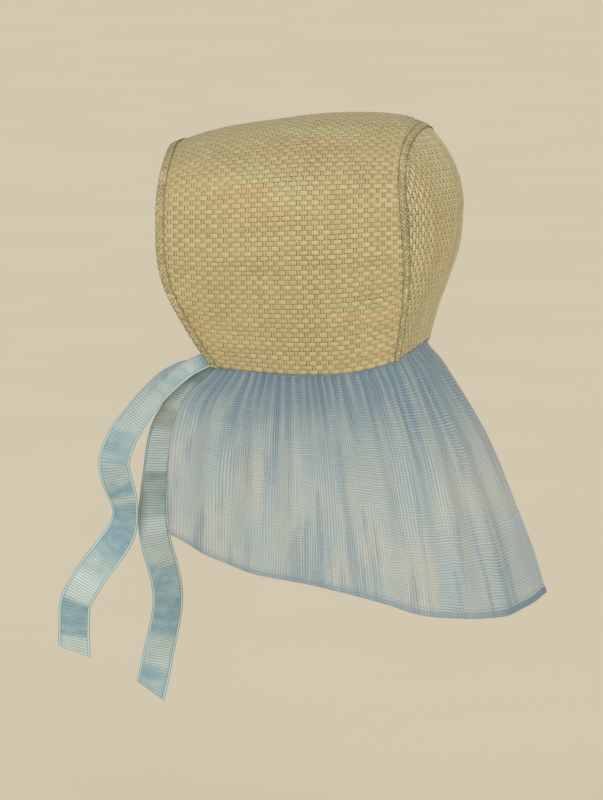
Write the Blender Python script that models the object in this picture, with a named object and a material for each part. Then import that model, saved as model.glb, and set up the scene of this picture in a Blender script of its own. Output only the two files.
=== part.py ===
"""Straw bonnet: a deep woven straw brim closed by a domed straw back, with a gathered cotton cape
below the neck edge and two ribbon ties at the front corners.

Metres, +Z up. The face looks along -Y and the wearer's left side is +X. The origin is where the
head touches the straw: on the inside of the crown, at its highest point.
"""
import math

import bmesh
import bpy
import numpy as np

# Straw
STRAW_WALL = 0.0018
BRIM_DEPTH = 0.2095
BRIM_WIDTH = 0.184
BRIM_HEIGHT = 0.206
CROWN_BEHIND = 0.043
BACK_BULGE = 0.0272
NAPE_RISE = 0.0085
# Trim sewn over the straw's edges
BINDING_WIDTH = 0.0050
BINDING_THICK = 0.0012
SEAM_BAND_WIDTH = 0.0046
SEAM_BAND_THICK = 0.0012
# Cape
CAPE_THICK = 0.0010
HEM_THICK = 0.0018
HEM_HEIGHT = 0.006
CAPE_OVERLAP = 0.010
CAPE_WIDTH = 0.210
CAPE_DEPTH = 0.2890
CAPE_LENGTH = 0.196
CAPE_FORWARD = 0.0275
FOLD_HEIGHT = 0.0030
FOLD_COUNT = 19
# How far the folds drift from even spacing, in folds, and how often on the way round
FOLD_DRIFT = 0.12
DRIFT_WAVES = 3
# Share of each half, from its front edge, over which the steep front fall turns into the back's
FRONT_FALL = 0.5
# Ties
RIBBON_WIDTH = 0.026
RIBBON_THICK = 0.0010
TIE_SEAM = 0.015
TIE_SLANT = 0.010
TIE_SWAY = 0.010
ROOT_FOLD = 78
LEFT_TIE_FORWARD = 0.1175
LEFT_TIE_DROP = 0.2488
RIGHT_TIE_FORWARD = 0.084
RIGHT_TIE_DROP = 0.3036
# Clearances
GAP = 0.0003
SEAM_GAP = 0.0004
CORNER_GAP = 0.0015
TIE_CLEARANCE = 0.0010

# Form of the straw's cross-section: a rounded arch down to its widest line, then drawn in to the neck
WIDEST_AT = 0.36
ARCH_POWER = 2.15
DOME_POWER = 0.9
# Facets: columns run down each side from the ridge, rows run from front to back
ARCH_COLUMNS = 11
CHEEK_COLUMNS = 8
BRIM_ROWS = 8
BACK_RINGS = 7
CAPE_COLUMNS = 56
TIE_SECTIONS = 36
SIDE_COLUMNS = ARCH_COLUMNS + CHEEK_COLUMNS
ARCH_SHARE = ARCH_COLUMNS / SIDE_COLUMNS
# Edges sharper than this, in degrees, stay sharp
SHARP_ANGLE = 35
# Points closer than this are one point
MERGE_DISTANCE = 1e-6
# Steps along a surface for finding its slope, as a length and as a share of the way round or inwards
SLOPE_STEP = 0.0005
SLOPE_SHARE = 0.001

# Sections of the brim from its front edge to the back seam.
# Depth is a share of BRIM_DEPTH, the two drops below the crown are shares of BRIM_HEIGHT and the
# two half widths are shares of half of BRIM_WIDTH.
BRIM_COLUMNS = ("depth", "ridge_drop", "neck_drop", "widest", "neck")
BRIM_SECTIONS = (
    (0.00, 0.134, 0.912, 1.000, 0.620),
    (0.12, 0.088, 0.950, 1.000, 0.650),
    (0.22, 0.061, 0.972, 1.005, 0.674),
    (0.40, 0.032, 0.986, 1.010, 0.735),
    (0.57, 0.008, 0.992, 1.010, 0.772),
    (0.75, 0.000, 0.981, 1.000, 0.770),
    (0.85, 0.004, 0.960, 0.990, 0.740),
    (0.92, 0.016, 0.938, 0.980, 0.705),
    (1.00, 0.058, 0.900, 0.967, 0.670),
)
# How far the front edge is cut back and the back seam comes forward on the way down from the ridge.
# Down is the share of the section's height, and both sweeps are shares of BRIM_DEPTH.
EDGE_COLUMNS = ("down", "front_sweep", "seam_sweep")
EDGE_SWEEPS = (
    (0.00, 0.020, 0.020),
    (0.03, 0.033, 0.026),
    (0.07, 0.039, 0.034),
    (0.13, 0.041, 0.037),
    (0.22, 0.042, 0.033),
    (0.36, 0.044, 0.022),
    (0.50, 0.044, 0.013),
    (0.60, 0.053, 0.011),
    (0.70, 0.075, 0.015),
    (0.80, 0.115, 0.025),
    (0.91, 0.168, 0.044),
    (1.00, 0.222, 0.0625),
)
# Middle line of the back below its fullest point: share of the way down to the nape, and how far it
# stands behind the seam's top as a share of BACK_BULGE.
BACK_COLUMNS = ("down", "behind")
BACK_LINE = (
    (0.00, 1.00),
    (0.31, 0.88),
    (0.56, 0.53),
    (0.77, 0.21),
    (1.00, -0.04),
)
# Hem of one half of the cape, from its front edge to the middle of the back.
# Girth is the share of the way round, out a share of half of CAPE_WIDTH, back a share of CAPE_DEPTH
# and drop a share of CAPE_LENGTH below the front corner of the neck edge.
HEM_COLUMNS = ("girth", "out", "back", "drop")
HEM_LINE = (
    (0.000, 0.838, -0.016, 0.668),
    (0.075, 0.886, 0.075, 0.735),
    (0.206, 0.952, 0.238, 0.816),
    (0.331, 1.000, 0.383, 0.846),
    (0.522, 0.981, 0.605, 0.921),
    (0.604, 0.897, 0.697, 0.968),
    (0.690, 0.781, 0.788, 0.988),
    (0.833, 0.476, 0.911, 0.998),
    (1.000, 0.000, 1.000, 0.940),
)
# Fall of the cape from the neck edge to the hem: share of the drop, share of the flare reached at
# the back and at the front edge, and the height of the folds as a share of FOLD_HEIGHT.
FALL_COLUMNS = ("drop", "back_flare", "front_flare", "folds")
CAPE_FALL = (
    (0.000, 0.000, 0.000, 0.00),
    (0.022, 0.010, 0.010, 0.15),
    (0.065, 0.090, 0.160, 0.45),
    (0.150, 0.215, 0.520, 0.80),
    (0.340, 0.470, 0.830, 0.95),
    (0.570, 0.695, 0.950, 1.00),
    (0.790, 0.870, 0.985, 1.00),
    (1.000, 1.000, 1.000, 1.00),
)
# Route of each tie below the corner of the neck edge.
# Forward and drop are shares of the tie's own reach, out is a share of TIE_SWAY, turn is the
# ribbon's twist in degrees away from facing sideways, and fold is how far each half of it is
# folded down about its middle line, in degrees.
TIE_COLUMNS = ("forward", "drop", "out", "turn", "fold")
LEFT_TIE_ROUTE = (
    (0.106, 0.021, -0.36, 67, 77),
    (0.211, 0.045, -0.38, 48, 46),
    (0.340, 0.096, -0.23, 37, 22),
    (0.464, 0.160, -0.03, 32, 12),
    (0.570, 0.232, 0.37, 26, 6),
    (0.640, 0.290, 0.67, 14, 2),
    (0.698, 0.385, 0.77, 4, 0),
    (0.676, 0.444, 0.47, 4, 0),
    (0.644, 0.499, 0.17, 18, 0),
    (0.634, 0.546, 0.07, 24, 0),
    (0.658, 0.601, 0.17, 17, 0),
    (0.722, 0.652, 0.47, 7, 0),
    (0.831, 0.719, 0.77, 3, 0),
    (0.915, 0.782, 0.87, 0, 0),
    (0.973, 0.836, 0.77, 0, 0),
    (0.990, 0.898, 0.47, 0, 0),
    (0.996, 0.964, 0.27, 0, 0),
    (0.992, 1.000, 0.27, 0, 0),
)
RIGHT_TIE_ROUTE = (
    (0.149, 0.010, -0.36, 67, 77),
    (0.298, 0.053, -0.38, 46, 40),
    (0.448, 0.105, -0.23, 40, 24),
    (0.592, 0.147, -0.13, 36, 14),
    (0.717, 0.205, 0.07, 40, 6),
    (0.845, 0.262, 0.37, 43, 2),
    (0.909, 0.318, 0.57, 46, 0),
    (0.947, 0.387, 0.57, 45, 0),
    (0.964, 0.456, 0.37, 37, 0),
    (0.956, 0.524, 0.17, 26, 0),
    (0.919, 0.592, 0.07, 24, 0),
    (0.860, 0.656, 0.27, 22, 0),
    (0.823, 0.719, 0.57, 24, 0),
    (0.833, 0.776, 0.77, 26, 0),
    (0.873, 0.837, 0.67, 24, 0),
    (0.917, 0.900, 0.37, 20, 0),
    (0.952, 0.955, 0.17, 10, 0),
    (0.989, 1.000, 0.17, 0, 0),
)

# Finishes: colour, roughness and sheen of each material
FINISHES = {
    "straw": ((0.48, 0.39, 0.19, 1.0), 0.62, 0.0),
    "braid": ((0.38, 0.32, 0.16, 1.0), 0.75, 0.0),
    "cotton": ((0.33, 0.42, 0.46, 1.0), 0.88, 0.3),
    "ribbon": ((0.37, 0.47, 0.47, 1.0), 0.45, 0.2),
}


def clear_scene():
    for item in list(bpy.data.objects):
        bpy.data.objects.remove(item, do_unlink=True)


def make_material(name):
    colour, roughness, sheen = FINISHES[name]
    material = bpy.data.materials.new(name)
    material.use_nodes = True
    shader = material.node_tree.nodes["Principled BSDF"]
    shader.inputs["Base Color"].default_value = colour
    shader.inputs["Roughness"].default_value = roughness
    shader.inputs["Metallic"].default_value = 0.0
    shader.inputs["Sheen Weight"].default_value = sheen
    material.diffuse_color = colour
    return material


def read_curve(places, values, at):
    """Value at one place on a smooth curve through the values at the given places."""
    slopes = np.gradient(values, places, axis=0)
    low = int(np.clip(np.searchsorted(places, at) - 1, 0, len(places) - 2))
    span = places[low + 1] - places[low]
    share = float(np.clip((at - places[low]) / span, 0.0, 1.0))
    rise = 3 * share ** 2 - 2 * share ** 3
    start_pull = (share - 2 * share ** 2 + share ** 3) * span * slopes[low]
    end_pull = (share ** 3 - share ** 2) * span * slopes[low + 1]
    return values[low] * (1 - rise) + values[low + 1] * rise + start_pull + end_pull


def read_table(table, columns, wanted, at):
    """Value of one column at a place in the first column, on a curve through the rows."""
    places = np.array([row[0] for row in table])
    values = np.array([row[columns.index(wanted)] for row in table])
    return float(read_curve(places, values, at))


def unit(vector):
    return vector / np.linalg.norm(vector)


def front_top():
    return CROWN_BEHIND - BRIM_DEPTH


def down_share(girth):
    """Share of the section's height at girth: 0 on the ridge, 1 and -1 on the neck edge."""
    way = abs(girth)
    if way <= ARCH_SHARE:
        angle = math.pi / 2 * way / ARCH_SHARE
        return WIDEST_AT * (1 - math.cos(angle) ** (2 / ARCH_POWER))
    return WIDEST_AT + (1 - WIDEST_AT) * (way - ARCH_SHARE) / (1 - ARCH_SHARE)


def brim_surface(girth, y):
    """Point on the outside of the brim."""
    depth = (y - front_top()) / BRIM_DEPTH
    ridge, neck_level, widest, neck = (
        read_table(BRIM_SECTIONS, BRIM_COLUMNS, name, depth) for name in BRIM_COLUMNS[1:])
    way = abs(girth)
    down = down_share(girth)
    if way <= ARCH_SHARE:
        half = widest * math.sin(math.pi / 2 * way / ARCH_SHARE) ** (2 / ARCH_POWER)
    else:
        half = widest - (widest - neck) * ((down - WIDEST_AT) / (1 - WIDEST_AT)) ** 2
    x = math.copysign(half * BRIM_WIDTH / 2, girth)
    z = STRAW_WALL - BRIM_HEIGHT * (ridge + (neck_level - ridge) * down)
    return np.array([x, y, z])


def front_y(girth):
    sweep = read_table(EDGE_SWEEPS, EDGE_COLUMNS, "front_sweep", down_share(girth))
    return front_top() + BRIM_DEPTH * sweep


def seam_y(girth):
    sweep = read_table(EDGE_SWEEPS, EDGE_COLUMNS, "seam_sweep", down_share(girth))
    return CROWN_BEHIND - BRIM_DEPTH * sweep


def back_surface(girth, inward):
    """Point on the outside of the back: inward is 0 at the seam and 1 on the middle line."""
    seam = brim_surface(girth, seam_y(girth))
    fullest = brim_surface(ARCH_SHARE, seam_y(ARCH_SHARE))
    nape = brim_surface(1.0, seam_y(1.0))[2] + NAPE_RISE
    way = max(0.0, (abs(girth) - ARCH_SHARE) / (1 - ARCH_SHARE))
    behind = CROWN_BEHIND + BACK_BULGE * read_table(BACK_LINE, BACK_COLUMNS, "behind", way)
    level = fullest[2] + (nape - fullest[2]) * way
    outward = 1 - inward
    lift = inward if way == 0.0 else 1 - outward ** 2
    x = seam[0] * outward
    y = seam[1] + (behind - seam[1]) * (1 - outward ** 2) ** DOME_POWER
    z = seam[2] + (level - seam[2]) * lift
    return np.array([x, y, z])


def surface_normal(surface, girth, low, high, middle):
    """Unit normal of a surface at a girth, between two close places, pointing away from middle."""
    here = (low + high) / 2
    before, after = max(girth - SLOPE_SHARE, -1.0), min(girth + SLOPE_SHARE, 1.0)
    along = surface(after, here) - surface(before, here)
    across = surface(girth, high) - surface(girth, low)
    normal = unit(np.cross(along, across))
    return normal if normal @ (surface(girth, here) - middle) > 0 else -normal


def brim_normal(girth, y):
    """Outward direction square to the brim, kept in the plane of its section."""
    middle = np.array([0.0, y, -BRIM_HEIGHT / 2])
    normal = surface_normal(brim_surface, girth, y - SLOPE_STEP, y + SLOPE_STEP, middle)
    return unit(normal * np.array([1.0, 0.0, 1.0]))


def back_normal(girth, inward):
    """Outward direction square to the back, without a sideways part on its middle line."""
    if inward >= 1.0 and abs(girth) <= ARCH_SHARE:
        return np.array([0.0, 1.0, 0.0])
    middle = np.array([0.0, 0.0, -BRIM_HEIGHT / 2])
    here = min(max(inward, SLOPE_SHARE), 1.0 - SLOPE_SHARE)
    normal = surface_normal(back_surface, girth, here - SLOPE_SHARE, here + SLOPE_SHARE, middle)
    return unit(normal * np.array([0.0, 1.0, 1.0])) if inward >= 1.0 else normal


def girth_columns():
    return [index / SIDE_COLUMNS for index in range(-SIDE_COLUMNS, SIDE_COLUMNS + 1)]


def face_grid(bm, grid, closed=False):
    """Faces between neighbouring rows of vertices."""
    for row, following in zip(grid[:-1], grid[1:]):
        last = len(row) if closed else len(row) - 1
        for index in range(last):
            beside = (index + 1) % len(row)
            bm.faces.new((row[index], row[beside], following[beside], following[index]))


def finish_object(name, bm, material):
    bmesh.ops.remove_doubles(bm, verts=bm.verts, dist=MERGE_DISTANCE)
    bmesh.ops.dissolve_degenerate(bm, edges=bm.edges, dist=MERGE_DISTANCE)
    bmesh.ops.recalc_face_normals(bm, faces=bm.faces)
    mesh = bpy.data.meshes.new(name)
    bm.to_mesh(mesh)
    bm.free()
    mesh.shade_smooth()
    mesh.set_sharp_from_angle(angle=math.radians(SHARP_ANGLE))
    mesh.materials.append(material)
    item = bpy.data.objects.new(name, mesh)
    bpy.context.scene.collection.objects.link(item)
    return item


def shell_object(name, outer, inner, material, end_joined=False):
    """Closed shell between two grids of points; end_joined leaves the last row without a rim."""
    bm = bmesh.new()
    outside = [[bm.verts.new(point) for point in row] for row in outer]
    inside = [[bm.verts.new(point) for point in row] for row in inner]
    face_grid(bm, outside)
    face_grid(bm, [row[::-1] for row in inside])
    face_grid(bm, [inside[0], outside[0]])
    if not end_joined:
        face_grid(bm, [outside[-1], inside[-1]])
    face_grid(bm, [[row[0] for row in outside], [row[0] for row in inside]])
    face_grid(bm, [[row[-1] for row in inside], [row[-1] for row in outside]])
    return finish_object(name, bm, material)


def loop_object(name, loops, material):
    """Closed body swept through a row of equal loops, with a flat face at each end."""
    bm = bmesh.new()
    rings = [[bm.verts.new(point) for point in loop] for loop in loops]
    face_grid(bm, rings, closed=True)
    bm.faces.new(rings[0][::-1])
    bm.faces.new(rings[-1])
    return finish_object(name, bm, material)


def brim_depths(girth):
    """Front to back places of the brim's rows, with a row under each trim's edge."""
    front, seam = front_y(girth), seam_y(girth)
    inner_rows = np.linspace(front + BINDING_WIDTH, seam - SEAM_BAND_WIDTH / 2, BRIM_ROWS - 1)
    return [front, *inner_rows, seam]


def back_places(girth):
    """Rings of the back from the seam inwards, with a ring under the seam band's edge."""
    first = band_reach(girth)
    return [0.0, *np.linspace(first, 1.0, BACK_RINGS)]


def band_reach(girth):
    """Share of the way inwards at which half of the seam band ends."""
    start = back_surface(girth, 0.0)
    end = back_surface(girth, 1.0)
    way = math.hypot(start[0] - end[0], start[2] - end[2])
    return SEAM_BAND_WIDTH / 2 / way


def make_brim(material):
    outer, inner = [], []
    for girth in girth_columns():
        places = brim_depths(girth)
        points = [brim_surface(girth, y) for y in places]
        normals = [brim_normal(girth, y) for y in places]
        outer.append(points)
        inner.append([point - normal * STRAW_WALL for point, normal in zip(points, normals)])
    return shell_object("brim", outer, inner, material)


def make_back(material):
    outer, inner = [], []
    shift = np.array([0.0, SEAM_GAP, 0.0])
    for ring in range(BACK_RINGS + 1):
        outside, inside = [], []
        for girth in girth_columns():
            place = back_places(girth)[ring]
            point = back_surface(girth, place)
            normal = brim_normal(girth, seam_y(girth)) if ring == 0 else back_normal(girth, place)
            outside.append(point + shift)
            inside.append(point + shift - normal * STRAW_WALL)
        outer.append(outside)
        inner.append(inside)
    return shell_object("crown_back", outer, inner, material, end_joined=True)


def make_binding(material):
    """Folded braid over the front edge, open towards the back."""
    loops = []
    for girth in girth_columns():
        front = front_y(girth)
        edge = brim_surface(girth, front)
        behind = brim_surface(girth, front + BINDING_WIDTH)
        out_edge = brim_normal(girth, front)
        out_behind = brim_normal(girth, front + BINDING_WIDTH)
        ahead = unit(edge - behind)
        nose = edge + ahead * (GAP + BINDING_THICK)
        mouth = edge + ahead * GAP
        outside = GAP + BINDING_THICK
        under = STRAW_WALL + GAP
        loops.append([
            behind + out_behind * outside,
            nose + out_edge * outside,
            nose - out_edge * (under + BINDING_THICK),
            behind - out_behind * (under + BINDING_THICK),
            behind - out_behind * under,
            mouth - out_edge * under,
            mouth + out_edge * GAP,
            behind + out_behind * GAP,
        ])
    return loop_object("front_binding", loops, material)


def make_seam_band(material):
    """Narrow band laid over the seam, bent where the back turns in."""
    loops = []
    shift = np.array([0.0, SEAM_GAP, 0.0])
    for girth in girth_columns():
        seam = seam_y(girth)
        reach = band_reach(girth)
        ahead = brim_surface(girth, seam - SEAM_BAND_WIDTH / 2)
        corner = brim_surface(girth, seam) + shift / 2
        behind = back_surface(girth, reach) + shift
        out_ahead = brim_normal(girth, seam)
        out_behind = back_normal(girth, reach / 2)
        middle = unit(out_ahead + out_behind)
        stretch = 1 / (middle @ out_ahead)
        outside = GAP + SEAM_BAND_THICK
        loops.append([
            ahead + out_ahead * outside,
            corner + middle * outside * stretch,
            behind + out_behind * outside,
            behind + out_behind * GAP,
            corner + middle * GAP * stretch,
            ahead + out_ahead * GAP,
        ])
    return loop_object("seam_band", loops, material)


def straw_rail(girth, depth):
    """Line along the inside of the straw at one girth, from behind the binding to the middle of
    the back, at a depth below the outer face."""
    rail = []
    for y in brim_depths(girth)[1:-1]:
        rail.append(brim_surface(girth, y) - brim_normal(girth, y) * depth)
    side, rear = brim_normal(girth, seam_y(girth)), back_normal(girth, 0.0)
    middle = unit(side + rear)
    rail.append(brim_surface(girth, seam_y(girth)) - middle * depth / (middle @ side))
    for place in back_places(girth)[1:]:
        rail.append(back_surface(girth, place) - back_normal(girth, place) * depth)
    return np.array(rail)


def along_rail(rail, places):
    """Points of a line at places counted in its own points."""
    numbers = np.arange(len(rail))
    return np.column_stack([np.interp(places, numbers, rail[:, axis]) for axis in range(3)])


def cape_half():
    """Columns of the cape's middle surface from the front edge to the middle of the back."""
    depth = STRAW_WALL + GAP + CAPE_THICK / 2
    corner = brim_surface(1.0, front_y(1.0))
    neck_rail = straw_rail(1.0, depth)
    upper_rail = straw_rail(1.0 - 1 / SIDE_COLUMNS, depth)
    steps = np.linalg.norm(np.diff(neck_rail, axis=0), axis=1)
    ways = np.concatenate([[0.0], np.cumsum(steps)])
    wanted = np.linspace(CORNER_GAP, ways[-1], CAPE_COLUMNS + 1)
    places = np.interp(wanted, ways, np.arange(len(ways)))
    necks = along_rail(neck_rail, places)
    uppers = along_rail(upper_rail, places)
    half = []
    for neck, upper, way in zip(necks, uppers, np.linspace(0.0, 1.0, CAPE_COLUMNS + 1)):
        top = neck + unit(upper - neck) * CAPE_OVERLAP
        out, back, drop = (read_table(HEM_LINE, HEM_COLUMNS, name, way) for name in HEM_COLUMNS[1:])
        hem = np.array([
            out * CAPE_WIDTH / 2,
            corner[1] - CAPE_FORWARD + back * CAPE_DEPTH,
            corner[2] - drop * CAPE_LENGTH,
        ])
        half.append((way, top, neck, hem))
    return half


def fall_rows():
    """Rows of the fall from the table, with one more at the top of the hem."""
    rows = [row[0] for row in CAPE_FALL]
    return rows[:-1] + [1.0 - HEM_HEIGHT / CAPE_LENGTH, rows[-1]]


def fold_wave(place):
    """Height of the soft folds, from -1 to 1, at a share of the way round the whole cape."""
    drift = FOLD_DRIFT * math.sin(2 * math.pi * DRIFT_WAVES * place)
    return math.cos(2 * math.pi * (FOLD_COUNT * place + drift))


def make_cape(material):
    half = cape_half()
    columns = [(way, top, neck, hem, 1.0) for way, top, neck, hem in half]
    columns += [(way, top, neck, hem, -1.0) for way, top, neck, hem in half[-2::-1]]
    rows = fall_rows()
    middle = []
    for way, top, neck, hem, side in columns:
        mirror = np.array([side, 1.0, 1.0])
        wave = fold_wave(way / 2 if side > 0 else 1 - way / 2)
        outward = unit((hem - neck) * np.array([1.0, 1.0, 0.0]))
        turned = min(1.0, way / FRONT_FALL)
        blend = turned * turned * (3 - 2 * turned)
        line = [top * mirror]
        for drop in rows:
            back_flare, front_flare, folds = (
                read_table(CAPE_FALL, FALL_COLUMNS, name, drop) for name in FALL_COLUMNS[1:])
            flare = front_flare + (back_flare - front_flare) * blend
            point = neck + (hem - neck) * np.array([flare, flare, drop])
            point = point + outward * FOLD_HEIGHT * folds * wave
            line.append(point * mirror)
        middle.append(line)
    thick = [CAPE_THICK] * (len(rows) - 1) + [HEM_THICK] * 2
    outer, inner = offset_sheet(np.array(middle), np.array(thick))
    return shell_object("cape", outer, inner, material)


def offset_sheet(middle, thick):
    """Two faces of a sheet, half its thickness to each side of its middle surface."""
    along = np.gradient(middle, axis=0)
    down = np.gradient(middle, axis=1)
    normal = np.cross(along, down)
    normal /= np.linalg.norm(normal, axis=2, keepdims=True)
    centre = middle.mean(axis=(0, 1))
    if np.sum(normal * (middle - centre)) < 0:
        normal = -normal
    shift = normal * thick[None, :, None] / 2
    return middle + shift, middle - shift


def tie_points(route, forward, drop, side):
    """Chosen points of a tie with its twist and fold, from its seam inside the corner to its end."""
    corner = brim_surface(1.0, front_y(1.0))
    half = RIBBON_WIDTH / 2
    cover = max(CAPE_THICK, BINDING_THICK)
    spread = half * math.cos(math.radians(ROOT_FOLD)) + RIBBON_THICK / 2
    depth = STRAW_WALL + GAP + cover + TIE_CLEARANCE + spread
    girth = 1.0 - half / 2 / BRIM_HEIGHT * (1 - ARCH_SHARE) / (1 - WIDEST_AT)
    leave = corner[1] + BINDING_WIDTH / 2
    points, twists = [], []
    for y in (leave + TIE_SEAM, leave + TIE_SEAM / 2, leave):
        normal = brim_normal(girth, y)
        upward = np.array([-normal[2], 0.0, normal[0]])
        points.append(brim_surface(girth, y) - normal * depth + upward * half / 2)
        upright = 90 + math.degrees(math.atan2(normal[2], normal[0]))
        twists.append((upright * side, ROOT_FOLD))
    start = points[-1]
    for row in route:
        at = dict(zip(TIE_COLUMNS, row))
        reach = np.array([at["out"] * TIE_SWAY, -at["forward"] * forward, -at["drop"] * drop])
        points.append(start + reach)
        twists.append((at["turn"] * side, at["fold"]))
    mirror = np.array([side, 1.0, 1.0])
    return np.array(points) * mirror, np.array(twists, float)


def smooth_route(points, twists, count):
    """Evenly spaced points, turns and folds on a smooth curve through the chosen ones."""
    rows = np.column_stack([points, twists])
    lengths = np.linalg.norm(np.diff(points, axis=0), axis=1)
    ways = np.concatenate([[0.0], np.cumsum(lengths)])
    result = np.array([read_curve(ways, rows, way) for way in np.linspace(0.0, ways[-1], count)])
    return result[:, :3], result[:, 3], np.clip(result[:, 4], 0.0, ROOT_FOLD)


def make_tie(name, route, forward, drop, side, material):
    points, turns, folds = smooth_route(*tie_points(route, forward, drop, side), TIE_SECTIONS)
    tangents = np.gradient(points, axis=0)
    half, thin = RIBBON_WIDTH / 2, RIBBON_THICK / 2
    loops = []
    for index, point in enumerate(points):
        tangent = unit(tangents[index])
        sideways = np.array([side, 0.0, 0.0])
        facing = unit(sideways - tangent * (sideways @ tangent))
        across = np.cross(tangent, facing) * side
        turn = math.radians(turns[index]) * side
        fold = math.radians(folds[index])
        width = across * math.cos(turn) - facing * math.sin(turn)
        face = facing * math.cos(turn) + across * math.sin(turn)
        slant = tangent * TIE_SLANT / 2 if index == len(points) - 1 else np.zeros(3)
        upper = width * math.cos(fold) - face * math.sin(fold)
        lower = -width * math.cos(fold) - face * math.sin(fold)
        upper_face = face * math.cos(fold) + width * math.sin(fold)
        lower_face = face * math.cos(fold) - width * math.sin(fold)
        loops.append([
            point + upper * half - slant + upper_face * thin,
            point + face * thin,
            point + lower * half + slant + lower_face * thin,
            point + lower * half + slant - lower_face * thin,
            point - face * thin / math.cos(fold),
            point + upper * half - slant - upper_face * thin,
        ])
    return loop_object(name, loops, material)


def main():
    clear_scene()
    straw = make_material("straw")
    braid = make_material("braid")
    ribbon = make_material("ribbon")
    make_brim(straw)
    make_back(straw)
    make_binding(braid)
    make_seam_band(braid)
    make_cape(make_material("cotton"))
    make_tie("tie_left", LEFT_TIE_ROUTE, LEFT_TIE_FORWARD, LEFT_TIE_DROP, 1.0, ribbon)
    make_tie("tie_right", RIGHT_TIE_ROUTE, RIGHT_TIE_FORWARD, RIGHT_TIE_DROP, -1.0, ribbon)


main()
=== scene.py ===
"""Straw bonnet: the woven straw, braid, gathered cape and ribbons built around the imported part.

Metres, +Z up. The face looks along -Y and the wearer's left side is +X. The origin is on the
inside of the crown, at its highest point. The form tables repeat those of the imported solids.
"""
import math

import bmesh
import bpy
import numpy as np
from bpy.props import FloatProperty, FloatVectorProperty, IntProperty, PointerProperty
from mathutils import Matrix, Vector
from mathutils.bvhtree import BVHTree


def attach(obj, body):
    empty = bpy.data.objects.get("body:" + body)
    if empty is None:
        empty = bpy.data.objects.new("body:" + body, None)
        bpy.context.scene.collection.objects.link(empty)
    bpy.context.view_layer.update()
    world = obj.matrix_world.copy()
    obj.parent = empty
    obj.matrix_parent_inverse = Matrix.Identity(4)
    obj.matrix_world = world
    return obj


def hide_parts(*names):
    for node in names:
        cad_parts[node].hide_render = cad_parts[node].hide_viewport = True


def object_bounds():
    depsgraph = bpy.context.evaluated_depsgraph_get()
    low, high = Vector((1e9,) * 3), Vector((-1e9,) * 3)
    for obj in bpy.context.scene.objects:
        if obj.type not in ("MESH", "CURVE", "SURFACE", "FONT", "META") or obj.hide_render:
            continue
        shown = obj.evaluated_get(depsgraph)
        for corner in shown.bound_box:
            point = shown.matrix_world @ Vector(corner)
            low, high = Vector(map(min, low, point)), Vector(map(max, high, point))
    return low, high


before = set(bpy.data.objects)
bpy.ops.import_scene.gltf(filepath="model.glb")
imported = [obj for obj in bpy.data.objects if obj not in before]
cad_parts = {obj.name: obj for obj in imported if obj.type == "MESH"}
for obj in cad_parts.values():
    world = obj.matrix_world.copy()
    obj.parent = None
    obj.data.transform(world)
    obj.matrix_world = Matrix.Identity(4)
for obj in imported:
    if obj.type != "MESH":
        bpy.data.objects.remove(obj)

bl_info = {
    "name": "Straw Bonnet",
    "version": (1, 0, 0),
    "blender": (4, 5, 0),
    "location": "View3D > Sidebar > Bonnet",
    "description": "Builds a woven straw bonnet with a gathered cape and ribbon ties",
    "category": "Add Mesh",
}

CAD_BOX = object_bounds()

# Sizes of the solids that the pieces are built on
STRAW_WALL = 0.0018
BRIM_DEPTH = 0.2095
BRIM_WIDTH = 0.184
BRIM_HEIGHT = 0.206
CROWN_BEHIND = 0.043
BACK_BULGE = 0.0272
NAPE_RISE = 0.0085
BINDING_WIDTH = 0.0050
BINDING_THICK = 0.0012
SEAM_BAND_WIDTH = 0.0046
CAPE_THICK = 0.0010
HEM_HEIGHT = 0.006
CAPE_OVERLAP = 0.010
CAPE_WIDTH = 0.210
CAPE_DEPTH = 0.2890
CAPE_LENGTH = 0.196
CAPE_FORWARD = 0.0275
FOLD_COUNT = 19
RIBBON_WIDTH = 0.026
RIBBON_THICK = 0.0010
TIE_SEAM = 0.015
TIE_SLANT = 0.010
TIE_SWAY = 0.010
ROOT_FOLD = 78
LEFT_TIE_REACH = (0.1175, 0.2488)
RIGHT_TIE_REACH = (0.084, 0.3036)
GAP = 0.0003
SEAM_GAP = 0.0004
CORNER_GAP = 0.0015
TIE_CLEARANCE = 0.0010
WIDEST_AT = 0.36
ARCH_POWER = 2.15
DOME_POWER = 0.9
ARCH_COLUMNS = 11
CHEEK_COLUMNS = 8
SIDE_COLUMNS = ARCH_COLUMNS + CHEEK_COLUMNS
ARCH_SHARE = ARCH_COLUMNS / SIDE_COLUMNS
FRONT_TOP = CROWN_BEHIND - BRIM_DEPTH

# Share of the ribbon's full thickness that a selvedge or a rib is built on
TIE_BODY = 0.3
# Girth from each side over which the brim's and the back's directions are taken
BRIM_STEP = 0.002
BACK_STEP = 0.004
# Sections of a straw between two crossings, the flat share of its width, how much the width of a
# long and of a crossing straw wanders, how far a crossing straw strays, and the fewest sections
STRAW_SAMPLES = 3
STRAW_SHOULDER = 0.78
ROW_WANDER = 0.05
ROW_KNOTS = 9
CROSS_WANDER = (0.85, 1.15)
CROSS_STRAY = 0.00012
FEWEST_SECTIONS = 4
# Distance behind the origin from which the back's surface is looked for
LOOK_FROM = 0.3
# Strands of the plaits, sections between their crossings, the share of its room that a strand
# fills, and the share of the way across past which it lies low at its turn
BINDING_STRANDS = 9
BINDING_SAMPLES = 3
SEAM_STRANDS = 3
SEAM_SAMPLES = 4
STRAND_COVER = 0.72
STRAND_SHARPNESS = 0.8
TURN_AT = 0.94
TURN_RISE = 0.4
# Places of the sewing threads across the plaits, and their sections
BINDING_THREADS = 0.99
SEAM_THREADS = 0.98
BINDING_THREAD_SECTIONS = 900
SEAM_THREAD_SECTIONS = 800
# Extra height of the seam's plait along its middle
SEAM_CROWN = 0.0004
# Depth under the crown about which the seam turns, and the least radius taken there
SEAM_CENTRE = 0.08
SEAM_RADIUS = 0.02
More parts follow.
